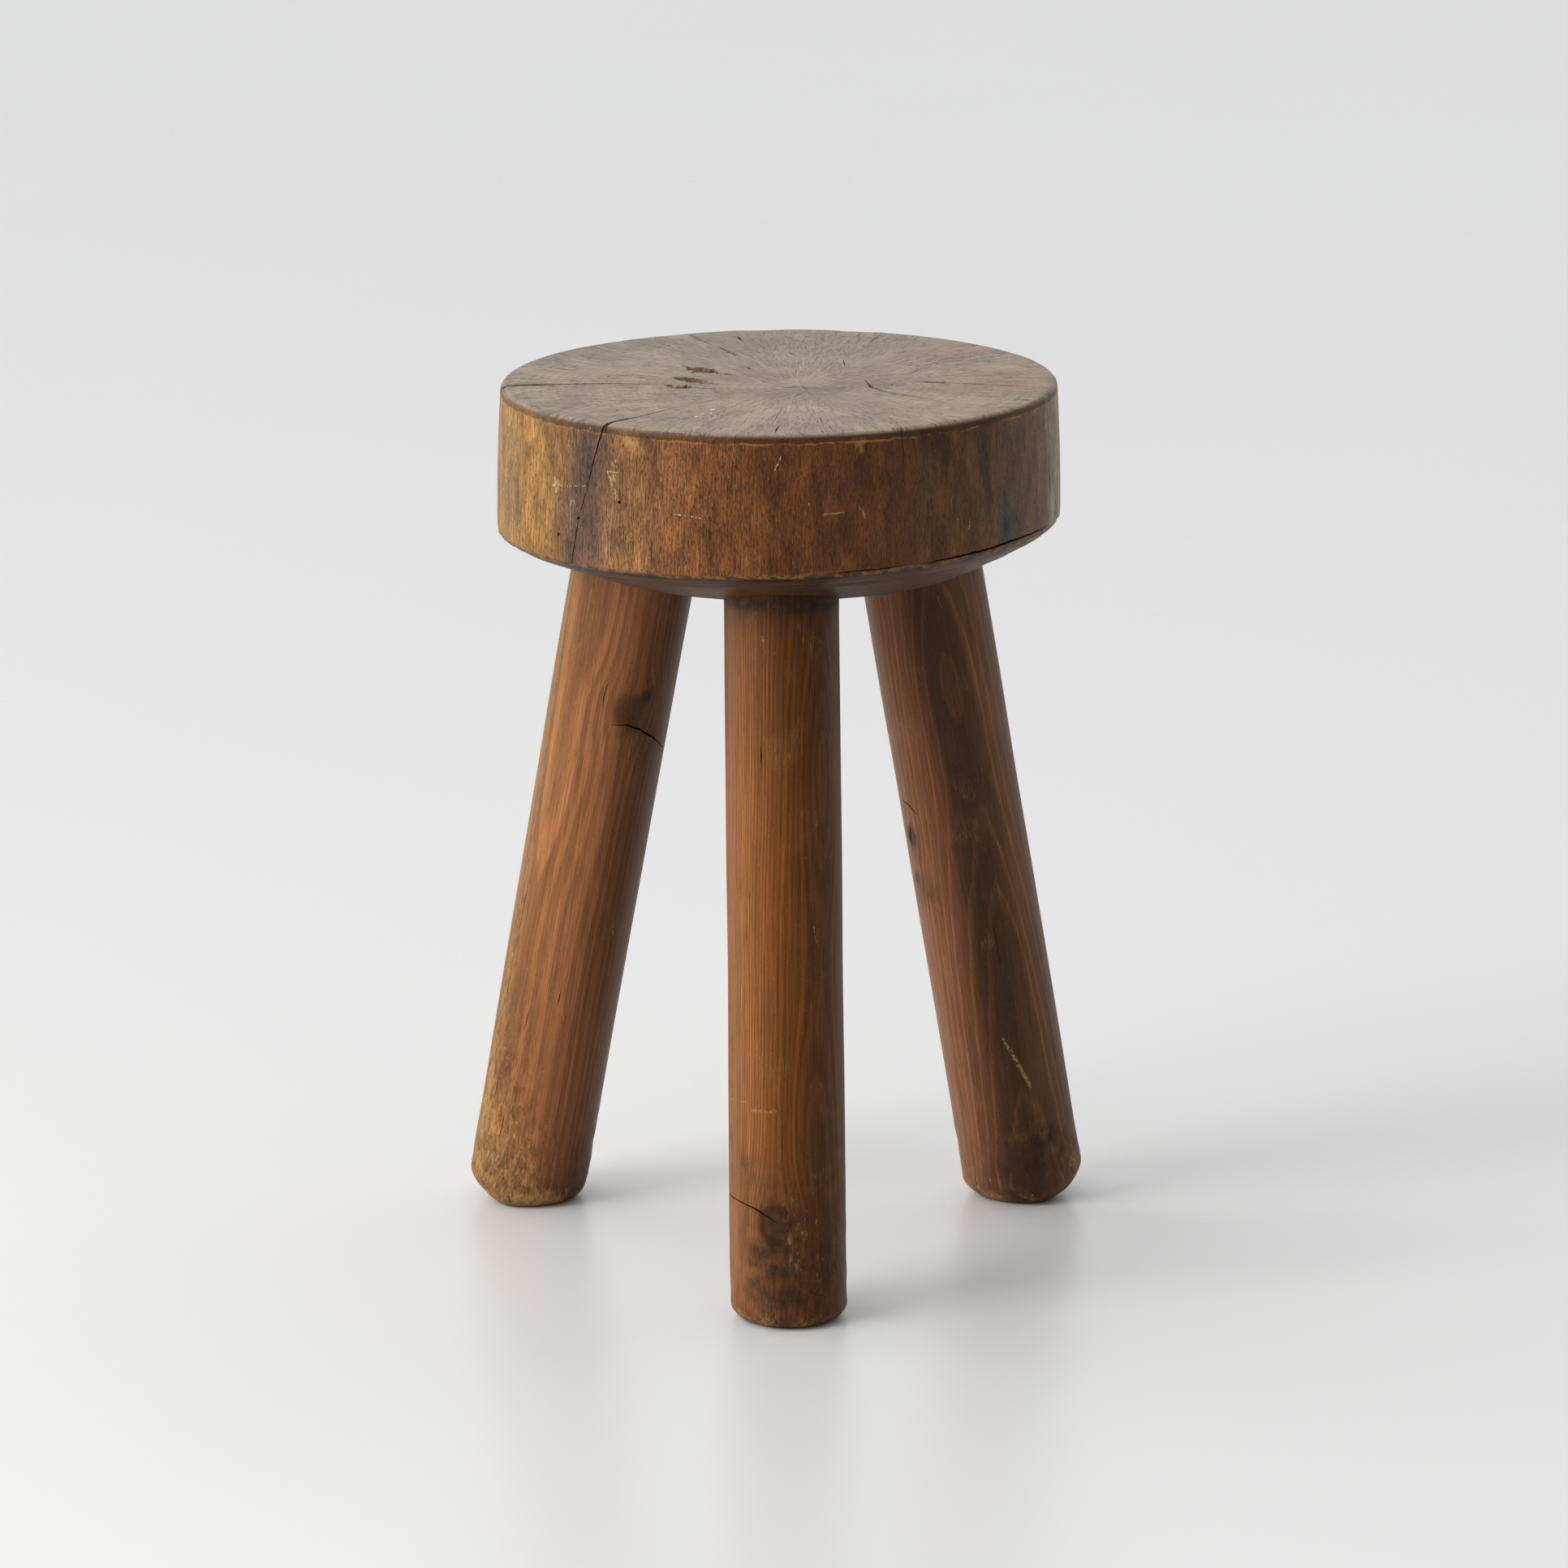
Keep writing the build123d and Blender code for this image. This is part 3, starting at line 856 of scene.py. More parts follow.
def leg_crack(leg, places, widths, depths, **rest):
    """A crack in a leg, through places given by angle from the front and height."""
    path = [leg.point(*place) for place in places]
    inward = [(-p[0], -p[1], 0) for p in path]
    return blade(path, inward, widths, depths, **rest)


def make_leg(leg):
    """One leg's mesh, with its kerf and its cracks cut."""
    made = closed_round(leg.node + "_wood", leg_rings(leg), leg.matrix)
    shapes = [kerf_shape(leg)]
    for k, crack in enumerate(leg.cracks):
        shapes.append(leg_crack(leg, **{"ragged": 0.25, "seed": leg.seed + k, **crack}))
    cut(made, shapes)
    smooth(made)
    return made


def dress_leg(leg, made):
    """Gives each of the leg's points its growth, colour, wear and depth in the wood."""
    points = points_of(made)
    store(made, "own_place", points)
    x, y, z = points.T
    y = y - leg.aside(z)
    points = np.stack([x, y, z], 1)
    from_front = wrap(np.degrees(np.arctan2(y, x)) - leg.front)
    radius = np.hypot(x, y)

    def across_from(at):
        """Distance round the surface from a line along the leg."""
        return np.radians(wrap(from_front - at)) * leg.foot_radius

    # the grain parts round each knot, and the knot has rings of its own
    parted = from_front.copy()
    for at, height, size in leg.knots:
        across = across_from(at)
        push = across * 0.85 * spot(across, z - height, size * 1.9, size * 2.6)
        parted = parted - np.degrees(push / leg.foot_radius)
    turn = np.radians(parted + leg.front)
    heart_angle, heart_distance = leg.heart
    heart_turn = math.radians(leg.front + heart_angle)
    sway = 2.2 * unevenness(np.stack([0 * z, 0 * z, z], 1), 90, leg.seed + 5)
    growth = np.hypot(
        radius * np.cos(turn) - heart_distance * math.cos(heart_turn) - sway,
        radius * np.sin(turn) - heart_distance * math.sin(heart_turn) + sway,
    )
    growth += leg.rise * z + 0.5 * unevenness(points * (1, 1, 0.16), 12, leg.seed + 6)
    for at, height, around, along, lift in leg.swells:
        growth += lift * spot(across_from(at), z - height, around, along)
    knot = np.zeros(len(x))
    for at, height, size in leg.knots:
        away = np.hypot(across_from(at), (z - height) * 0.8)
        core = smooth_step(size * 0.95, size * 0.55, away)
        growth = growth * (1 - core) + away * 2.2 * core
        knot = np.maximum(knot, smooth_step(size * 1.35, size * 0.5, away))
    store(made, "growth", growth)
    store(made, "knot", knot)
    angle = from_front + leg.front
    depth = leg.radius(angle, z) - radius
    above_floor = z + x * math.tan(SPLAY)
    off_foot = smooth_step(14, 24, above_floor)
    # painted shade inside the cracks, away from the foot
    store(made, "in_crack", smooth_step(0.9, 1.9, depth) * off_foot * (z < TENON_END - 3))

    shifted = wrap(from_front + 6 * unevenness(points * (1, 1, 0.15), 18, leg.seed + 7))
    tone = tone_round(shifted, leg.tones_with_light)
    patches = unevenness(points * (1, 1, 0.2), 24, leg.seed + 8)
    streaks = unevenness(points * (1, 1, 0.04), 3.2, leg.seed + 10)
    # painted shade: the seat's shadow darkens the colour of the leg's top
    seat_shadow_dim = 1 - leg.seat_shadow * smooth_step(SHOULDER_LENGTH - 130, SHOULDER_LENGTH - 15, z)
    tone *= ((1 + 0.14 * patches + 0.12 * streaks) * seat_shadow_dim)[:, None]
    store(made, "tone", tone)
    darkening = 0.45 * smooth_step(22, 0, above_floor)
    below_seat = UNDERSIDE - above_floor * math.cos(SPLAY)
    # painted shade: the two terms on below_seat darken the leg where it meets the seat's
    # underside; the rest is darkening near the floor and the grime of the smudges
    darkening = darkening + 0.40 * smooth_step(18, 0, below_seat) + 0.6 * smooth_step(4.5, 1, below_seat)
    for at, height, around, along, strength in leg.smudges:
        lumpy = 1 + 0.5 * unevenness(points, 5, leg.seed + 9)
        darkening = darkening + strength * spot(across_from(at), z - height, around, along) * lumpy
    store(made, "darkening", np.clip(darkening, 0, 1))
    edge = unevenness(points, 9, leg.seed + 11)
    worn = (0.34 + 0.35 * edge) * smooth_step(13, 4, above_floor)
    worn = worn + 0.20 * smooth_step(90, 8, z)
    # the listed patches include stripes that are partly a painted highlight down the lit left side
    for at, height, around, along, strength in leg.worn:
        worn = worn + strength * spot(across_from(at), z - height, around, along)
    store(made, "worn", np.clip(worn, 0, 1))


LEGS = [
    Leg(
        "front", 55.8, 56.4, sole=7, outer_sole=9, stray=2.4, heart=(-142, 55), ring_gap=1.25,
        dark_share=0.50, contrast=(1.25, 0.73), rise=-0.010, seat_shadow=0.30,
        swells=[(20, 90, 16, 50, 1.6), (-20, 190, 18, 70, 0.5), (44, 265, 13, 62, 4.0)],
        knots=[(-12, 46, 9.0)],
        cracks=[
            dict(places=[(-80, 59.5), (-55, 57), (-33, 54), (-9, 47)],
                 widths=(1.3, 0.9, 1.0, 0.3), depths=(6, 6, 5, 1)),
            dict(places=[(-22, 280), (-22, 266)], widths=(0.3, 1.2, 0.3), depths=(1, 3, 1)),
            dict(places=[(160, 90), (163, 150)], widths=(0.3, 1.1, 0.3), depths=(1, 5, 1)),
        ],
        smudges=[(-12, 52, 16, 14, 0.8), (-24, 30, 17, 18, 0.85), (-17, 9, 17, 11, 0.7),
                 (25, 24, 18, 18, 0.65), (62, 60, 14, 60, 0.4), (-42, 72, 14, 9, 0.5),
                 (52, 230, 8, 120, 0.3)],
        # the long stripes at -80, -72 and -75 are partly wear, partly a painted highlight down the
        # lit left edge
        worn=[(-80, 190, 5, 200, 0.35), (-72, 100, 6, 60, 0.30), (30, 190, 3, 160, 0.20),
              (5, 60, 8, 20, 0.25), (18, 34, 14, 22, 0.28),
              (-75, 300, 6, 60, 0.3)],
        # painted light: paler on the lit left, darker to the right, and the rise at 82 is a
        # painted reflection on the right edge
        tones_with_light=[(-180, paint(118, 74, 42)), (-85, paint(138, 91, 54)), (-45, paint(139, 88, 49)),
               (-25, paint(126, 75, 34)), (-5, paint(108, 62, 23)), (32, paint(97, 57, 22)),
               (62, paint(100, 64, 36)), (82, paint(116, 80, 52)), (110, paint(104, 66, 42)),
               (180, paint(118, 74, 42))],
        seed=300,
    ),
    Leg(
        "rear_left", 61.6, 58.8, sole=7, outer_sole=23, stray=0.6, heart=(140, 52),
        ring_gap=2.9, dark_share=0.52, contrast=(1.26, 0.72), rise=0.012, seat_shadow=0.05,
        swells=[(-25, 315, 10, 40, 1.6), (-42, 215, 9, 40, 1.3), (-15, 150, 10, 60, -1.2),
                (-45, 90, 9, 50, 1.2)],
        knots=[(17, 272, 8.0), (32, 280, 3.0)],
        cracks=[
            dict(places=[(3, 264), (18, 265), (30, 263), (52, 257), (76, 249)],
                 widths=(0.4, 1.1, 1.3, 0.9, 0.7), depths=(1, 5, 6, 5, 3)),
            dict(places=[(-6, 286), (-9, 278), (-7, 270)], widths=(0.3, 0.7, 0.3),
                 depths=(1, 3, 1)),
            dict(places=[(-56, 178), (-59, 150), (-60, 134)], widths=(0.3, 0.8, 0.3),
                 depths=(1, 4, 1)),
            dict(places=[(-61, 124), (-62, 106)], widths=(0.3, 0.9, 0.3), depths=(1, 3, 1)),
            dict(places=[(-29, 108), (-31, 96)], widths=(0.3, 1.0, 0.3), depths=(1, 3, 1)),
            dict(places=[(-37, 50), (-38, 37)], widths=(0.3, 1.1, 0.4), depths=(1, 3, 1)),
            dict(places=[(-52, 70), (-54, 54)], widths=(0.3, 1.1, 0.3), depths=(1, 3, 1)),
            dict(places=[(-1, 122), (-2, 113)], widths=(0.3, 0.9, 0.3), depths=(1, 2, 1)),
        ],
        smudges=[(17, 272, 9, 8, 0.40), (32, 280, 5, 5, 0.65), (26, 262, 12, 5, 0.45),
                 (48, 254, 13, 9, 0.45), (-40, 22, 20, 12, 0.5), (60, 22, 15, 20, 0.5),
                 (-50, 70, 9, 22, 0.4), (-10, 10, 25, 8, 0.5)],
        worn=[(-68, 170, 5, 190, 0.58), (-54, 58, 26, 86, 0.52), (-36, 330, 4, 40, 0.45),
              (-10, 20, 26, 34, 0.34)],
        # painted light: paler on the lit left, darker to the right
        tones_with_light=[(-180, paint(118, 76, 44)), (-85, paint(137, 99, 54)), (-47, paint(144, 97, 60)),
               (-4, paint(151, 100, 67)), (20, paint(124, 78, 48)), (42, paint(102, 64, 33)),
               (80, paint(98, 68, 48)), (120, paint(110, 72, 44)), (180, paint(116, 74, 42))],
        seed=340,
    ),
    Leg(
        "rear_right", 60.4, 60.0, sole=9, outer_sole=25, stray=0.6, heart=(-166, 46),
        ring_gap=2.3, dark_share=0.82, contrast=(1.85, 0.90), rise=-0.030, seat_shadow=0.14,
        swells=[(4, 290, 12, 40, 2.6), (35, 120, 10, 45, 1.6), (10, 90, 14, 50, -0.8)],
        knots=[(-62, 203, 4.5), (-64, 180, 3.0)],
        cracks=[
            dict(places=[(-70, 221), (-57, 220), (-46, 215)], widths=(0.7, 1.6, 0.4),
                 depths=(3, 6, 1)),
            dict(places=[(-60, 211), (-64, 203), (-65, 194)], widths=(0.4, 2.2, 0.4),
                 depths=(1, 5, 1)),
            dict(places=[(12, 168), (14, 130)], widths=(0.2, 0.6, 0.2), depths=(1, 2, 1)),
            dict(places=[(140, 250), (143, 190)], widths=(0.3, 1.0, 0.3), depths=(1, 4, 1)),
        ],
        smudges=[(25, 36, 6, 5, 0.75), (0, 26, 22, 18, 0.60), (45, 34, 18, 22, 0.45),
                 (5, 190, 9, 120, 0.35), (-60, 200, 6, 9, 0.5), (-50, 173, 9, 9, 0.5)],
        worn=[(62, 17, 7, 6, 0.65), (-80, 60, 6, 60, 0.45), (70, 150, 4, 120, 0.2),
              (-50, 26, 10, 18, 0.35)],
        # painted light: paler on the lit left, darker to the right
        tones_with_light=[(-180, paint(112, 72, 44)), (-85, paint(124, 87, 61)), (-45, paint(118, 79, 56)),
               (-22, paint(102, 64, 43)), (-10, paint(76, 47, 30)), (15, paint(76, 48, 30)),
               (46, paint(110, 74, 49)),
               (85, paint(83, 57, 41)), (120, paint(104, 70, 46)), (180, paint(112, 72, 44))],
        seed=380,
    ),
]


# ---- material helpers -------------------------------------------------------------------
class Recipe:
    """Adds nodes to one material or node group, and hands back their outputs."""

    def __init__(self, tree):
        self.tree = tree

    def node(self, kind, inputs=None, **settings):
        """A node. inputs maps a socket's name or number to a constant or an output."""
        made = self.tree.nodes.new(kind)
        for key, value in settings.items():
            setattr(made, key, value)
        for key, value in (inputs or {}).items():
            self.feed(made.inputs[key], value)
        return made

    def feed(self, socket, value):
        if isinstance(value, bpy.types.NodeSocket):
            self.tree.links.new(value, socket)
        else:
            socket.default_value = value

    def maths(self, operation, *values, clamp=False):
        inputs = dict(enumerate(values))
        return self.node("ShaderNodeMath", inputs, operation=operation, use_clamp=clamp).outputs[0]

    def vector(self, operation, *values, **others):
        """A node of vector maths on the values, with any other input given by its name."""
        inputs = {**dict(enumerate(values)), **others}
        return self.node("ShaderNodeVectorMath", inputs, operation=operation)

    def times(self, one, other):
        return self.maths("MULTIPLY", one, other)

    def plus(self, one, other):
        return self.maths("ADD", one, other)

    def less(self, one, other):
        return self.maths("SUBTRACT", one, other)

    def most(self, one, other):
        return self.maths("MAXIMUM", one, other)

    def stored(self, name, colour=False):
        made = self.node("ShaderNodeAttribute", attribute_name=name)
        return made.outputs["Color" if colour else "Fac"]

    def rise(self, value, low, high, to_low=0.0, to_high=1.0):
        """value taken from low..high to to_low..to_high, with soft ends."""
        inputs = {0: value, 1: low, 2: high, 3: to_low, 4: to_high}
        made = self.node("ShaderNodeMapRange", inputs, interpolation_type="SMOOTHSTEP")
        return made.outputs[0]

    def blend(self, amount, under, over, how="MIX"):
        """Two colours laid one over the other."""
        made = self.node("ShaderNodeMix", {0: amount, 6: under, 7: over},
                         data_type="RGBA", blend_type=how, clamp_factor=True)
        return made.outputs[2]

    def tint(self, under, over):
        """A colour or a shade laid over another as a glaze, each dimming the other."""
        return self.blend(1.0, under, over, "MULTIPLY")

    def lay(self, under, over, where, strength=None):
        """A coat of over on under, where the mask is, and at most as strong as given."""
        amount = where if strength is None else self.times(where, strength)
        return self.blend(amount, under, over)

    def stretched(self, place, across, along):
        """Coordinates squeezed across and along the grain, for noise to be read at."""
        return self.vector("MULTIPLY", place, (across, across, along)).outputs[0]

    def clouds(self, place, scale=1.0, detail=3.0, rough=0.55, distortion=0.0):
        inputs = {"Vector": place, "Scale": scale, "Detail": detail, "Roughness": rough,
                  "Distortion": distortion}
        return self.node("ShaderNodeTexNoise", inputs).outputs[0]

    def use(self, group, **inputs):
        """Places a shared effect. Its inputs are named as in the group, with _ for a space."""
        made = self.tree.nodes.new("ShaderNodeGroup")
        made.node_tree = group
        for key, value in inputs.items():
            self.feed(made.inputs[key.replace("_", " ")], value)
        return made.outputs


def new_effect(name, takes, gives):
    """An empty shared effect: its recipe, its input sockets and its output node."""
    tree = bpy.data.node_groups.new(name, "ShaderNodeTree")
    for socket, kind, start in takes:
        made = tree.interface.new_socket(name=socket, in_out="INPUT", socket_type=kind)
        if start is not None:
            made.default_value = start
    for socket, kind in gives:
        tree.interface.new_socket(name=socket, in_out="OUTPUT", socket_type=kind)
    entry = tree.nodes.new("NodeGroupInput")
    return tree, Recipe(tree), entry.outputs, tree.nodes.new("NodeGroupOutput").inputs


def make_fibre():
    """Fine wood fibre: soft streaks along the grain, and dark open pores as short dashes."""
    tree, r, takes, gives = new_effect(
        "wood fibre",
        [("Place", "NodeSocketVector", None), ("Fineness", "NodeSocketFloat", 1.0),
         ("Shortness", "NodeSocketFloat", 1.0), ("Pore Amount", "NodeSocketFloat", 0.5)],
        [("Streaks", "NodeSocketFloat"), ("Pores", "NodeSocketFloat")],
    )
    fine = r.vector("SCALE", takes["Place"], Scale=takes["Fineness"]).outputs[0]
    squeeze = r.node("ShaderNodeCombineXYZ", {0: 1.0, 1: 1.0, 2: takes["Shortness"]}).outputs[0]
    fine = r.vector("MULTIPLY", fine, squeeze).outputs[0]
    streaks = r.clouds(r.stretched(fine, 0.9, 0.025), detail=4.0, rough=0.6, distortion=0.25)
    r.feed(gives["Streaks"], streaks)
    dashes = r.clouds(r.stretched(fine, 2.4, 0.12), detail=2.0, distortion=0.3)
    threshold = r.less(0.74, r.times(takes["Pore Amount"], 0.16))
    over = r.less(dashes, threshold)
    r.feed(gives["Pores"], r.rise(over, 0.0, 0.07))
    return tree


def make_rings():
    """Growth rings: each year a pale width that darkens into a thin hard line."""
    tree, r, takes, gives = new_effect(
        "growth rings",
        [("Growth", "NodeSocketFloat", 0.0), ("Ring Gap", "NodeSocketFloat", 3.0),
         ("Dark Share", "NodeSocketFloat", 0.45), ("Place", "NodeSocketVector", None)],
        [("Line", "NodeSocketFloat"), ("Year", "NodeSocketFloat")],
    )
    ragged = r.clouds(r.stretched(takes["Place"], 0.5, 0.012), detail=2.0)
    growth = r.plus(takes["Growth"], r.times(ragged, 0.5))
    slow = r.node("ShaderNodeTexNoise", {"W": r.times(growth, 0.16), "Detail": 1.0,
                                         "Scale": 1.0}, noise_dimensions="1D").outputs[0]
    years = r.maths("DIVIDE", growth, takes["Ring Gap"])
    years = r.plus(years, r.times(slow, 1.1))
    part = r.maths("FRACT", years)
    start = r.less(0.82, takes["Dark Share"])
    ramp = r.maths("DIVIDE", r.less(part, start), 0.27, clamp=True)
    line = r.times(ramp, r.rise(part, 0.99, 0.90))
    strength = r.node("ShaderNodeTexWhiteNoise", {"W": r.maths("FLOOR", years)},
                      noise_dimensions="1D").outputs["Value"]
    line = r.times(line, r.maths("MULTIPLY_ADD", strength, 0.55, 0.45))
    r.feed(gives["Line"], line)
    r.feed(gives["Year"], strength)
    return tree


def make_flecks():
    """Wear as it really breaks up: flecks that gather where the wear is strong."""
    tree, r, takes, gives = new_effect(
        "worn flecks",
        [("Place", "NodeSocketVector", None), ("Wear", "NodeSocketFloat", 0.0),
         ("Size", "NodeSocketFloat", 1.0)],
        [("Flecks", "NodeSocketFloat")],
    )
    place = r.vector("DIVIDE", takes["Place"], takes["Size"]).outputs[0]
    lumps = r.clouds(r.stretched(place, 0.55, 0.18), detail=6.0, rough=0.72)
    level = r.maths("MULTIPLY_ADD", takes["Wear"], -0.34, 0.74)
    r.feed(gives["Flecks"], r.rise(r.less(lumps, level), -0.02, 0.07))
    return tree


def make_scratches():
    """Fine random scratches, all ways, a few long and most short."""
    tree, r, takes, gives = new_effect(
        "fine scratches",
        [("Place", "NodeSocketVector", None), ("Amount", "NodeSocketFloat", 0.5)],
        [("Scratches", "NodeSocketFloat")],
    )
    found = None
    for angle, stretch in ((0.5, 0.07), (-0.9, 0.05), (2.1, 0.06)):
        turned = r.node("ShaderNodeVectorRotate", {"Vector": takes["Place"], "Angle": angle},
                        rotation_type="AXIS_ANGLE").outputs[0]
        lines = r.clouds(r.stretched(turned, 1.1, stretch), detail=1.0)
        thin = r.rise(r.maths("ABSOLUTE", r.less(lines, 0.5)), 0.010, 0.002)
        where = r.rise(r.clouds(takes["Place"], 0.045 + 0.01 * stretch, 3.0), 0.56, 0.66)
        thin = r.times(thin, where)
        found = thin if found is None else r.most(found, thin)
    r.feed(gives["Scratches"], r.times(found, takes["Amount"]))
    return tree


def make_stroke():
    """One drawn scratch, from Start to End, fading at its ends and broken by the grain."""
    tree, r, takes, gives = new_effect(
        "one scratch",
        [("Place", "NodeSocketVector", None), ("Start", "NodeSocketVector", None),
         ("End", "NodeSocketVector", None), ("Width", "NodeSocketFloat", 0.5)],
        [("Scratch", "NodeSocketFloat")],
    )
    away = r.vector("SUBTRACT", takes["Place"], takes["Start"]).outputs[0]
    run = r.vector("SUBTRACT", takes["End"], takes["Start"]).outputs[0]
    gone = r.vector("DOT_PRODUCT", away, run).outputs["Value"]
    whole = r.vector("DOT_PRODUCT", run, run).outputs["Value"]
    share = r.maths("DIVIDE", gone, whole, clamp=True)
    nearest = r.vector("SCALE", run, Scale=share).outputs[0]
    aside = r.vector("SUBTRACT", away, nearest).outputs[0]
    gap = r.vector("LENGTH", aside).outputs["Value"]
    shaky = r.clouds(takes["Place"], 0.9, 3.0, 0.7)
    gap = r.plus(gap, r.times(r.less(shaky, 0.44), 1.7))
    share = r.maths("DIVIDE", gap, takes["Width"])
    broken = r.rise(r.clouds(takes["Place"], 0.75, 3.0, 0.7), 0.44, 0.53)
    r.feed(gives["Scratch"], r.times(r.rise(share, 1.0, 0.25), broken))
    return tree


FIBRE = make_fibre()
RINGS = make_rings()
FLECKS = make_flecks()
SCRATCHES = make_scratches()
STROKE = make_stroke()


def new_material(name, kept_place=True):
    """An empty material: its recipe, its shader and its coordinates in millimetres.

    kept_place uses the place in the piece's own frame that was stored with each point.
    """
    material = bpy.data.materials.new(name)
    material.use_nodes = True
    tree = material.node_tree
    tree.nodes.clear()
    r = Recipe(tree)
    shader = r.node("ShaderNodeBsdfPrincipled")
    output = r.node("ShaderNodeOutputMaterial")
    tree.links.new(shader.outputs[0], output.inputs[0])
    if kept_place:
        place = r.node("ShaderNodeAttribute", attribute_name="own_place").outputs["Vector"]
        return material, r, shader, place
    coordinates = r.node("ShaderNodeTexCoord").outputs["Object"]
    place = r.vector("SCALE", coordinates, Scale=1 / MM).outputs[0]
    return material, r, shader, place


def finish_with(r, shader, colour, roughness, height, depth_mm, gloss=0.16):
    """Feeds the shader: colour, roughness, and a bump of the given depth."""
    shader.inputs["Specular IOR Level"].default_value = gloss
    r.feed(shader.inputs["Base Color"], colour)
    r.feed(shader.inputs["Roughness"], roughness)
    bump = r.node("ShaderNodeBump", {"Height": height, "Distance": depth_mm * MM,
                                     "Strength": 1.0})
    r.feed(shader.inputs["Normal"], bump.outputs[0])


def strokes(r, place, marks):
    """Several drawn scratches together. marks are start, end and width."""
    found = None
    for start, end, width in marks:
        one = r.use(STROKE, Place=place, Start=tuple(start), End=tuple(end), Width=width)[0]
        found = one if found is None else r.most(found, one)
    return found


# ---- the leg's pine ---------------------------------------------------------------------
LEG_SCRATCHES = {
    "front": [((-73, 106), (-45, 105), 1.0), ((-36, 101.5), (-12, 101), 1.4),
              ((30, 190), (33, 182), 0.5), ((-20, 330), (-17, 322), 0.5)],
    "rear_left": [((2, 318), (5, 312), 0.5), ((-40, 128), (-28, 127.5), 0.5),
                  ((0, 118), (6, 106), 0.5), ((40, 160), (43, 152), 0.5)],
    "rear_right": [((5, 94), (14, 80), 1.5), ((14, 80), (23, 66), 1.6),
                   ((12, 330), (14, 324), 0.6), ((31, 197), (34, 190), 0.6)],
}


def leg_pine(leg):
    """Stained pine: rings that the stain has turned warm, with wear, grime and scratches, and
    painted shade under the seat and in the cracks.
    """
    material, r, shader, place = new_material("stained pine " + leg.name.replace("_", " "))
    tone = r.stored("tone", colour=True)
    rings = r.use(RINGS, Growth=r.stored("growth"), Ring_Gap=leg.ring_gap,
                  Dark_Share=leg.dark_share, Place=place)
    fibre = r.use(FIBRE, Place=place, Fineness=2.0, Shortness=0.8, Pore_Amount=0.6)
    scratches = r.use(SCRATCHES, Place=place, Amount=0.6)[0]
    flecks = r.use(FLECKS, Place=place, Wear=r.stored("worn"), Size=1.0)[0]

    pale, deep = leg.contrast
    warm = r.tint(tone, (pale, 0.93 * pale, 0.80 * pale, 1))
    dark = r.tint(tone, (deep, 0.94 * deep, 0.97 * deep, 1))
    colour = r.blend(rings["Line"], warm, dark)
    year = r.rise(rings["Year"], 0.0, 1.0, 0.90, 1.10)
    colour = r.tint(colour, year)
    shade = r.rise(fibre["Streaks"], 0.26, 0.74, 0.67, 1.29)
    colour = r.tint(colour, shade)
    drift = r.rise(r.clouds(r.stretched(place, 0.09, 0.03), detail=4.0, rough=0.6), 0.42, 0.64)
    olive = r.tint(colour, (0.90, 0.95, 0.80, 1))
    colour = r.lay(colour, olive, drift)
    nicks = r.rise(r.clouds(r.stretched(place, 0.9, 0.4), detail=3.0, rough=0.7), 0.66, 0.70)
    colour = r.lay(colour, paint(50, 30, 19), nicks, 0.60)
    dents = r.rise(r.clouds(place, 0.9, 3.0, 0.7), 0.66, 0.71)
    colour = r.lay(colour, paint(182, 132, 78), dents, 0.45)
    colour = r.lay(colour, paint(44, 26, 17), fibre["Pores"], 0.5)
    knotty = r.times(r.stored("knot"), 0.60)
    colour = r.lay(colour, paint(62, 34, 20), knotty)
    # the stored mask is darkening near the floor, grime in the smudges, and painted shade where
    # the leg meets the seat
    darkening = r.clouds(place, 0.16, 5.0, 0.7)
    darkening = r.times(r.stored("darkening"), r.rise(darkening, 0.28, 0.62, 0.35, 1.0))
    colour = r.lay(colour, paint(36, 27, 20), darkening, 0.85)
    rubbed = r.use(FLECKS, Place=place, Wear=r.stored("worn"), Size=3.2)[0]
    colour = r.lay(colour, paint(146, 104, 58), rubbed, 0.72)
    red = r.times(r.rise(r.clouds(place, 0.34, 4.0, 0.7), 0.56, 0.64), rubbed)
    colour = r.lay(colour, paint(112, 54, 30), red, 0.6)
    chaff = r.rise(r.clouds(place, 0.8, 3.0), 0.3, 0.7, 0.75, 1.15)
    chaff = r.tint(paint(192, 150, 94), chaff)
    colour = r.lay(colour, chaff, flecks, 0.50)
    flaws = r.clouds(r.stretched(place, 0.55, 0.13), detail=5.0, rough=0.72, distortion=0.4)
    flaws = r.times(r.rise(flaws, 0.51, 0.58), r.rise(r.stored("worn"), 0.15, 0.5))
    colour = r.lay(colour, paint(98, 58, 33), flaws, 0.62)
    marks = [(leg.point(*a), leg.point(*b), w) for a, b, w in LEG_SCRATCHES[leg.name]]
    drawn = strokes(r, place, marks)
    bared = r.most(r.times(scratches, 0.65), r.times(drawn, 0.7))
    colour = r.lay(colour, paint(182, 136, 86), bared)
    # painted shade: near-black inside the cracks
    colour = r.lay(colour, paint(22, 13, 8), r.stored("in_crack"))

    roughness = r.rise(fibre["Streaks"], 0.2, 0.8, 0.36, 0.50)
    roughness = r.plus(roughness, r.times(flecks, 0.22))
    roughness = r.plus(roughness, r.times(darkening, 0.15))
    height = r.times(rings["Line"], 0.35)
    height = r.plus(height, r.times(fibre["Streaks"], 0.8))
    height = r.less(height, r.times(fibre["Pores"], 0.5))
    height = r.less(height, r.times(flecks, 0.5))
    height = r.less(height, r.times(bared, 0.5))
    finish_with(r, shader, colour, roughness, height, 0.16)
    return material


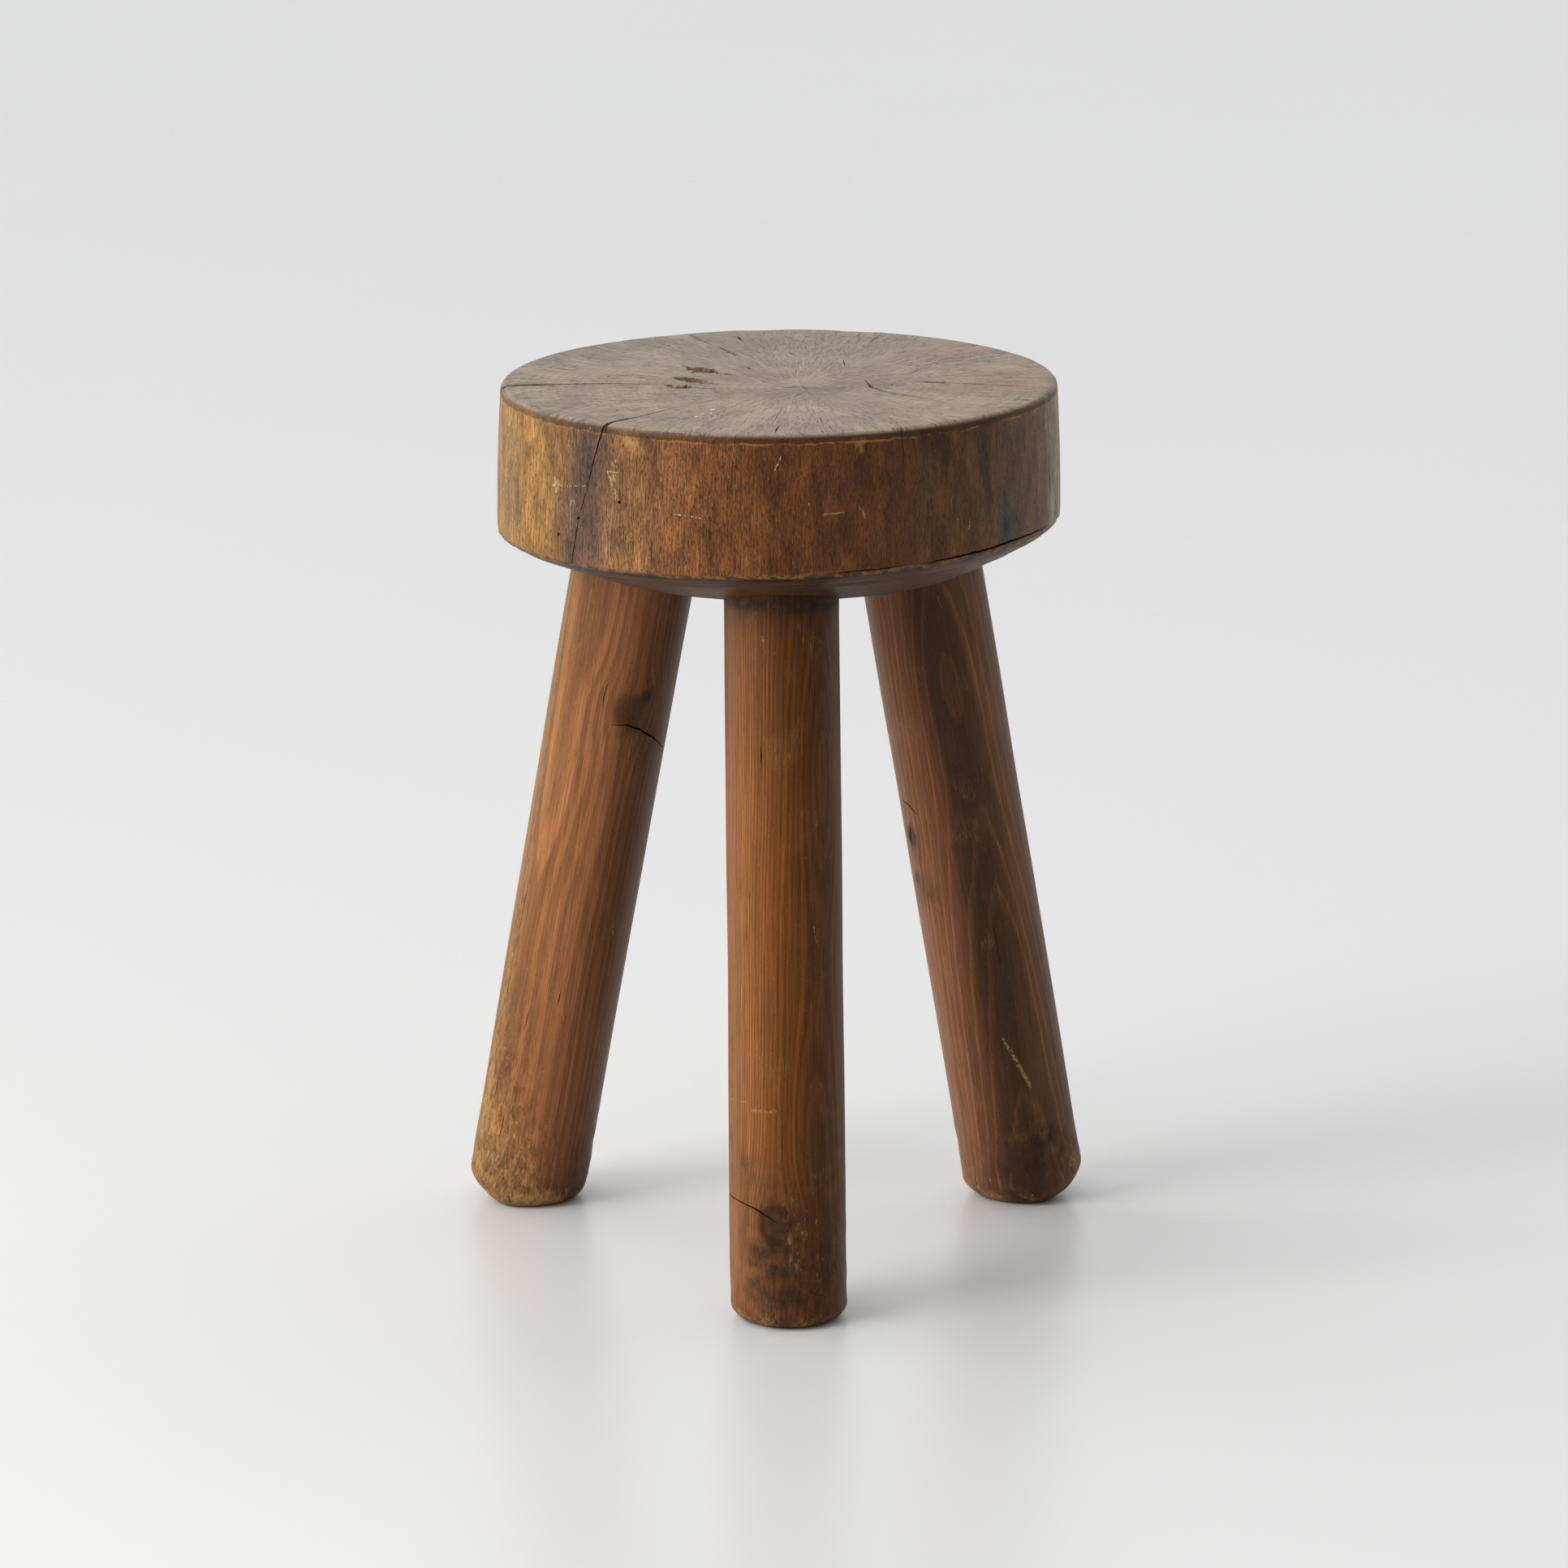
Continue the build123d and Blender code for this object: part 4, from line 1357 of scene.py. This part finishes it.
# ---- the slab's hardwood ----------------------------------------------------------------
SIDE_SCRATCHES = [
    ((-143.5, 33.5), (-133.9, 30.8), 0.75), ((-142.9, 29.5), (-142.4, 36), 0.8),
    ((-127.7, 22.5), (-126.5, 28.5), 0.6), ((-126.0, 16.0), (-125.3, 20.0), 0.6),
    ((-128.2, 22.0), (-125.2, 22.1), 0.5), ((-125.8, 30.0), (-125.0, 35.0), 0.5),
    ((-112.3, 39.2), (-109.9, 39.7), 0.45), ((-109.3, 39.6), (-106.6, 40.5), 0.45),
    ((-90.4, 10.2), (-91.9, 17.4), 0.6),
    ((-82.2, 39.0), (-78.0, 38.7), 0.65), ((-74.8, 36.3), (-74.2, 39.0), 0.6),
    ((-74.0, 38.5), (-73.7, 42.0), 0.7), ((-52.4, 48.3), (-52.4, 54.1), 0.55),
    ((-49.2, 50.0), (-49.4, 54.5), 0.75), ((-85.0, 33.1), (-84.8, 36.1), 0.4),
]
# White paint on the top face: right, back, radius.
PAINT_SPECKS = [(-41, -90, 1.0), (-38, -82, 0.7), (-33, -72, 1.1), (-34, -81, 0.9),
                (-32, -87, 0.9), (-66, 4, 0.8), (-92, -30, 0.5), (24, 66, 0.7)]


def round_noise(r, place, centre, around, outwards, detail, rough):
    """Noise about an upright line: around and outwards are how fast it changes each way."""
    away = r.vector("SUBTRACT", place, (*centre, 0.0)).outputs[0]
    away = r.vector("MULTIPLY", away, (1, 1, 0)).outputs[0]
    distance = r.vector("LENGTH", away).outputs["Value"]
    heading = r.vector("NORMALIZE", away).outputs[0]
    spread = r.vector("SCALE", heading, Scale=around).outputs[0]
    lifted = r.node("ShaderNodeCombineXYZ", {2: r.times(distance, outwards)})
    spread = r.vector("ADD", spread, lifted.outputs[0]).outputs[0]
    return r.clouds(spread, 1.0, detail, rough)


def side_wood(r, place, tone, fibre, rings):
    """The side grain round the slab, from the worn band under the top edge down."""
    coarse = r.stored("coarse")
    below = r.stored("below_top")
    shade = r.rise(fibre["Streaks"], 0.28, 0.72, 0.52, 1.50)
    shade = r.blend(coarse, (1, 1, 1, 1), shade)
    side = r.tint(tone, shade)
    drift = r.clouds(r.stretched(place, 0.10, 0.04), detail=5.0, rough=0.65, distortion=0.5)
    side = r.tint(side, r.rise(drift, 0.32, 0.68, 0.68, 1.33))
    side = r.lay(side, r.tint(side, (0.62, 0.50, 0.42, 1)), rings["Line"], 0.30)
    glow = r.rise(r.clouds(r.stretched(place, 0.16, 0.03), detail=3.0), 0.52, 0.72)
    glow = r.times(glow, coarse)
    side = r.lay(side, paint(150, 88, 36), glow, 0.30)
    side = r.lay(side, paint(40, 23, 14), fibre["Pores"], 0.78)
    bare = r.rise(r.clouds(r.stretched(place, 1.5, 0.35), detail=4.0, rough=0.7), 0.60, 0.68)
    bare = r.times(bare, coarse)
    side = r.lay(side, paint(190, 138, 80), bare, 0.45)
    # the dark worn band under the top edge, and the thin pale line beneath it
    ragged = r.times(r.clouds(place, 0.16, 5.0, 0.7), 3.6)
    under_edge = r.plus(below, r.less(ragged, 1.8))
    band = r.times(r.rise(under_edge, 4.8, 4.1), r.rise(below, 0.3, 0.8))
    side = r.lay(side, paint(54, 35, 23), band, 0.62)
    pale_line = r.times(r.rise(under_edge, 4.0, 4.5), r.rise(under_edge, 5.5, 4.7))
    broken = r.rise(r.clouds(r.stretched(place, 0.07, 0.3), detail=4.0, rough=0.7), 0.44, 0.54)
    pale_line = r.times(pale_line, broken)
    side = r.lay(side, paint(178, 118, 58), pale_line, 0.60)
    return side


def tooled_wood(r, place, tone):
    """The sawn and tooled underside, with its marks running round and painted shade in its
    creases.
    """
    tooled = round_noise(r, place, (0, 0), 3.4, 0.5, 6.0, 0.75)
    under = r.tint(tone, r.rise(tooled, 0.3, 0.7, 0.55, 1.50))
    fine_tooled = round_noise(r, place, (0, 0), 12.0, 1.6, 3.0, 0.6)
    under = r.tint(under, r.rise(fine_tooled, 0.3, 0.7, 0.68, 1.34))
    # painted shade: dark lines in the groove just inside the lower arris and in the crease between
    # the two bevels
    crease = r.plus(r.stored("inward"), r.times(r.less(tooled, 0.5), 4.0))
    lip = r.times(r.rise(crease, 0.9, 1.6), r.rise(crease, 4.4, 2.6))
    bend = r.times(r.rise(crease, 8.2, 9.0), r.rise(crease, 12.0, 9.6))
    crease_shade = r.times(r.most(lip, bend), 0.75)
    under = r.lay(under, paint(26, 17, 11), crease_shade)
    return under


def top_wood(r, place, tone, rings, scratches):
    """End grain: streaks, short dashes and fine checks that run out from the heart.

    Gives its colour, its speckle and its openings.
    """
    broad = round_noise(r, place, PITH, 7.0, 0.02, 4.0, 0.6)
    narrow = round_noise(r, place, PITH, 34.0, 0.05, 4.0, 0.65)
    dashes = r.rise(round_noise(r, place, PITH, 70.0, 0.11, 2.0, 0.5), 0.615, 0.665)
    checks = r.rise(r.maths("ABSOLUTE", r.less(narrow, 0.5)), 0.014, 0.003)
    patchy = r.rise(r.clouds(place, 0.03, 3.0), 0.40, 0.54)
    checks = r.times(checks, patchy)
    top = r.tint(tone, r.rise(broad, 0.28, 0.72, 0.94, 1.05))
    top = r.tint(top, r.rise(narrow, 0.28, 0.72, 0.85, 1.14))
    cloudy = r.clouds(r.stretched(place, 0.035, 0.035), detail=5.0, rough=0.6)
    top = r.tint(top, r.rise(cloudy, 0.3, 0.7, 0.93, 1.06))
    top = r.lay(top, paint(92, 70, 54), rings["Line"], 0.24)
    speckle = r.clouds(r.stretched(place, 1.3, 0.2), detail=3.0, rough=0.7)
    top = r.tint(top, r.rise(speckle, 0.28, 0.72, 0.70, 1.29))
    top = r.lay(top, paint(58, 46, 38), checks, 0.75)
    top = r.lay(top, paint(66, 50, 42), dashes, 0.55)
    top = r.lay(top, paint(206, 192, 170), scratches, 0.30)
    specks = None
    for right, back, size in PAINT_SPECKS:
        gap = r.vector("DISTANCE", place, tuple(on_top(right, back))).outputs["Value"]
        gap = r.plus(gap, r.times(r.clouds(place, 0.9, 3.0), 1.2))
        one = r.rise(gap, size + 0.65, size + 0.35)
        specks = one if specks is None else r.most(specks, one)
    top = r.lay(top, paint(222, 218, 208), specks, 0.8)
    return top, speckle, r.most(checks, dashes)


def slab_hardwood():
    """The slab: worn end grain on top with its sheen painted in, pored side grain round it, dark
    sawn wood beneath with painted shade, and painted shade in its cracks.
    """
    material, r, shader, place = new_material("slab hardwood")
    tone = r.stored("tone", colour=True)
    end_grain = r.stored("end_grain")
    coarse = r.stored("coarse")
    fibre = r.use(FIBRE, Place=place, Fineness=1.35, Shortness=2.2, Pore_Amount=1.1)
    rings = r.use(RINGS, Growth=r.stored("log_radius"), Ring_Gap=4.2, Place=place)
    scratches = r.use(SCRATCHES, Place=place, Amount=0.6)[0]

    side = side_wood(r, place, tone, fibre, rings)
    under = tooled_wood(r, place, tone)
    side = r.lay(side, under, r.rise(r.stored("above_rim"), 0.9, 0.2))
    top, speckle, openings = top_wood(r, place, tone, rings, scratches)
    colour = r.blend(end_grain, side, top)
    # the pale line along the lower arris: chipped pale wood, and partly a painted highlight on the
    # edge
    chipped_edge_and_highlight = r.stored("arris")
    chewed = r.clouds(r.stretched(place, 0.16, 0.4), detail=5.0, rough=0.75)
    chipped_edge_and_highlight = r.times(chipped_edge_and_highlight, r.rise(chewed, 0.47, 0.56))
    colour = r.lay(colour, paint(170, 116, 62), chipped_edge_and_highlight, 0.62)
    marks = [(on_side(*a), on_side(*b), w) for a, b, w in SIDE_SCRATCHES]
    drawn = strokes(r, place, marks)
    side_only = r.less(1.0, end_grain)
    pale = r.most(r.times(scratches, 0.3), r.times(drawn, r.rise(coarse, 0.4, 1.0, 0.42, 0.85)))
    colour = r.lay(colour, paint(214, 192, 138), pale, side_only)
    flakes = r.use(FLECKS, Place=place, Wear=r.stored("flaked"), Size=0.55)[0]
    colour = r.lay(colour, paint(206, 178, 120), flakes, 0.72)
    darkening = r.clouds(r.stretched(place, 0.14, 0.05), detail=5.0, rough=0.7)
    darkening = r.times(r.stored("darkening"), r.rise(darkening, 0.28, 0.62, 0.3, 1.0))
    colour = r.lay(colour, paint(60, 44, 40), darkening, 0.62)
    torn = r.rise(r.clouds(place, 0.5, 4.0, 0.7), 0.35, 0.65, 0.7, 1.25)
    torn = r.tint(TORN_TONE, torn)
    colour = r.lay(colour, torn, r.stored("torn"))
    # painted shade: near-black inside the cracks and worm holes
    colour = r.lay(colour, paint(22, 14, 10), r.stored("in_crack"))

    roughness = r.rise(fibre["Streaks"], 0.2, 0.8, 0.40, 0.54)
    roughness = r.lay(roughness, r.rise(speckle, 0.3, 0.7, 0.34, 0.46), end_grain)
    height = r.times(fibre["Streaks"], 0.9)
    height = r.less(height, r.times(fibre["Pores"], 0.8))
    flat_height = r.less(r.times(speckle, 0.35), r.times(openings, 0.8))
    height = r.lay(height, flat_height, end_grain)
    height = r.less(height, r.times(pale, 0.4))
    finish_with(r, shader, colour, roughness, height, 0.34, gloss=0.22)
    return material


def wedge_beech():
    """The fox wedges' pale hardwood, with its fine fibre."""
    material, r, shader, place = new_material("wedge beech", kept_place=False)
    fibre = r.use(FIBRE, Place=place, Fineness=1.6, Shortness=1.5, Pore_Amount=0.6)
    colour = r.blend(fibre["Streaks"], paint(196, 158, 116), paint(150, 112, 76))
    colour = r.lay(colour, paint(110, 78, 50), fibre["Pores"], 0.5)
    roughness = r.rise(fibre["Streaks"], 0.2, 0.8, 0.6, 0.75)
    finish_with(r, shader, colour, roughness, fibre["Streaks"], 0.1)
    return material


# ---- floor, light and camera ------------------------------------------------------------
FLOOR_SIZE = 40000.0
FLOOR_DROP = 0.05  # keeps the floor just clear of the soles


def pale_floor():
    """A painted floor, nearly plain, with a soft sheen."""
    material, r, shader, place = new_material("painted floor", kept_place=False)
    drift = r.clouds(place, 0.0012, 3.0, 0.5)
    colour = r.blend(drift, paint(230, 230, 229), paint(226, 226, 224))
    roughness = r.rise(r.clouds(place, 0.0014, 2.0), 0.3, 0.7, 0.26, 0.33)
    finish_with(r, shader, colour, roughness, drift, 0.2, gloss=0.5)
    half = FLOOR_SIZE / 2
    corners = [(-half, -half), (half, -half), (half, half), (-half, half)]
    corners = [(x, y, -FLOOR_DROP) for x, y in corners]
    floor = make_mesh("studio_floor", corners, [(0, 1, 2, 3)])
    floor.data.materials.append(material)


# The lamp, in metres from the stool's origin.
LAMP_SIZE = 1.8
LAMP_POWER = 55.0
LAMP_PLACE = (-2.6, -1.3, 2.0)
LAMP_AIM = Vector((0, 0, 0.25))


def soft_light():
    """Pale surroundings, brighter on the left, and one large soft lamp at the front left."""
    world = bpy.data.worlds.new("studio")
    bpy.context.scene.world = world
    world.use_nodes = True
    r = Recipe(world.node_tree)
    world.node_tree.nodes.clear()
    way = r.node("ShaderNodeTexCoord").outputs["Generated"]
    x, y, z = r.node("ShaderNodeSeparateXYZ", {0: way}).outputs
    left = r.rise(x, 0.05, -0.95, 0.0, 1.15)
    behind = r.rise(y, -0.25, 0.65, 0.0, 0.58)
    above = r.rise(z, 0.2, 1.0, 0.0, 0.25)
    strength = r.plus(r.plus(r.plus(0.22, left), behind), above)
    sky = r.node("ShaderNodeBackground", {"Color": (0.985, 0.99, 1.0, 1), "Strength": strength})
    out = r.node("ShaderNodeOutputWorld")
    world.node_tree.links.new(sky.outputs[0], out.inputs[0])

    lamp = bpy.data.lights.new("soft window", "AREA")
    lamp.shape = "RECTANGLE"
    lamp.size = LAMP_SIZE
    lamp.size_y = LAMP_SIZE
    lamp.energy = LAMP_POWER
    lamp.color = (1.0, 0.99, 0.98)
    holder = bpy.data.objects.new("soft window", lamp)
    bpy.context.scene.collection.objects.link(holder)
    holder.location = LAMP_PLACE
    aim = LAMP_AIM - holder.location
    holder.rotation_euler = aim.to_track_quat("-Z", "Y").to_euler()


# The camera, in metres from the floor under the seat's axis.
CAMERA_DISTANCE = 4.688
CAMERA_HEIGHT = 1.3425
CAMERA_PITCH = math.radians(13.35)
CAMERA_ASIDE = 0.0026
CAMERA_LENS = 224.0  # millimetres


def aim_camera():
    """A long lens at the front of the stool, looking a little down at it."""
    turn = math.radians(VIEW_BEARING)
    out = Vector((math.cos(turn), math.sin(turn), 0))
    right = Vector((-out.y, out.x, 0))
    camera = bpy.data.objects.new("camera", bpy.data.cameras.new("camera"))
    bpy.context.scene.collection.objects.link(camera)
    ground = Vector((SEAT_TOP.x, SEAT_TOP.y, 0))
    camera.location = (
        ground + out * CAMERA_DISTANCE + right * CAMERA_ASIDE + Vector((0, 0, CAMERA_HEIGHT))
    )
    camera.rotation_euler = (math.pi / 2 - CAMERA_PITCH, 0, turn + math.pi / 2)
    camera.data.lens = CAMERA_LENS
    camera.data.clip_end = 100
    bpy.context.scene.camera = camera


# ---- putting it together ----------------------------------------------------------------
def main():
    slab = make_slab(LEGS)
    dress_slab(slab)
    slab.data.materials.clear()
    slab.data.materials.append(slab_hardwood())
    settle(slab)
    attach(slab, "root")
    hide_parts("seat_slab")
    for leg in LEGS:
        made = make_leg(leg)
        dress_leg(leg, made)
        made.data.materials.clear()
        made.data.materials.append(leg_pine(leg))
        settle(made)
        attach(made, "root")
        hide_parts(leg.node)
    beech = wedge_beech()
    for name, node in frame["nodes"].items():
        if name.startswith("fox_wedge"):
            node.data.materials.clear()
            node.data.materials.append(beech)
    pale_floor()
    soft_light()
    aim_camera()
    bpy.context.scene.view_settings.view_transform = "Standard"


main()
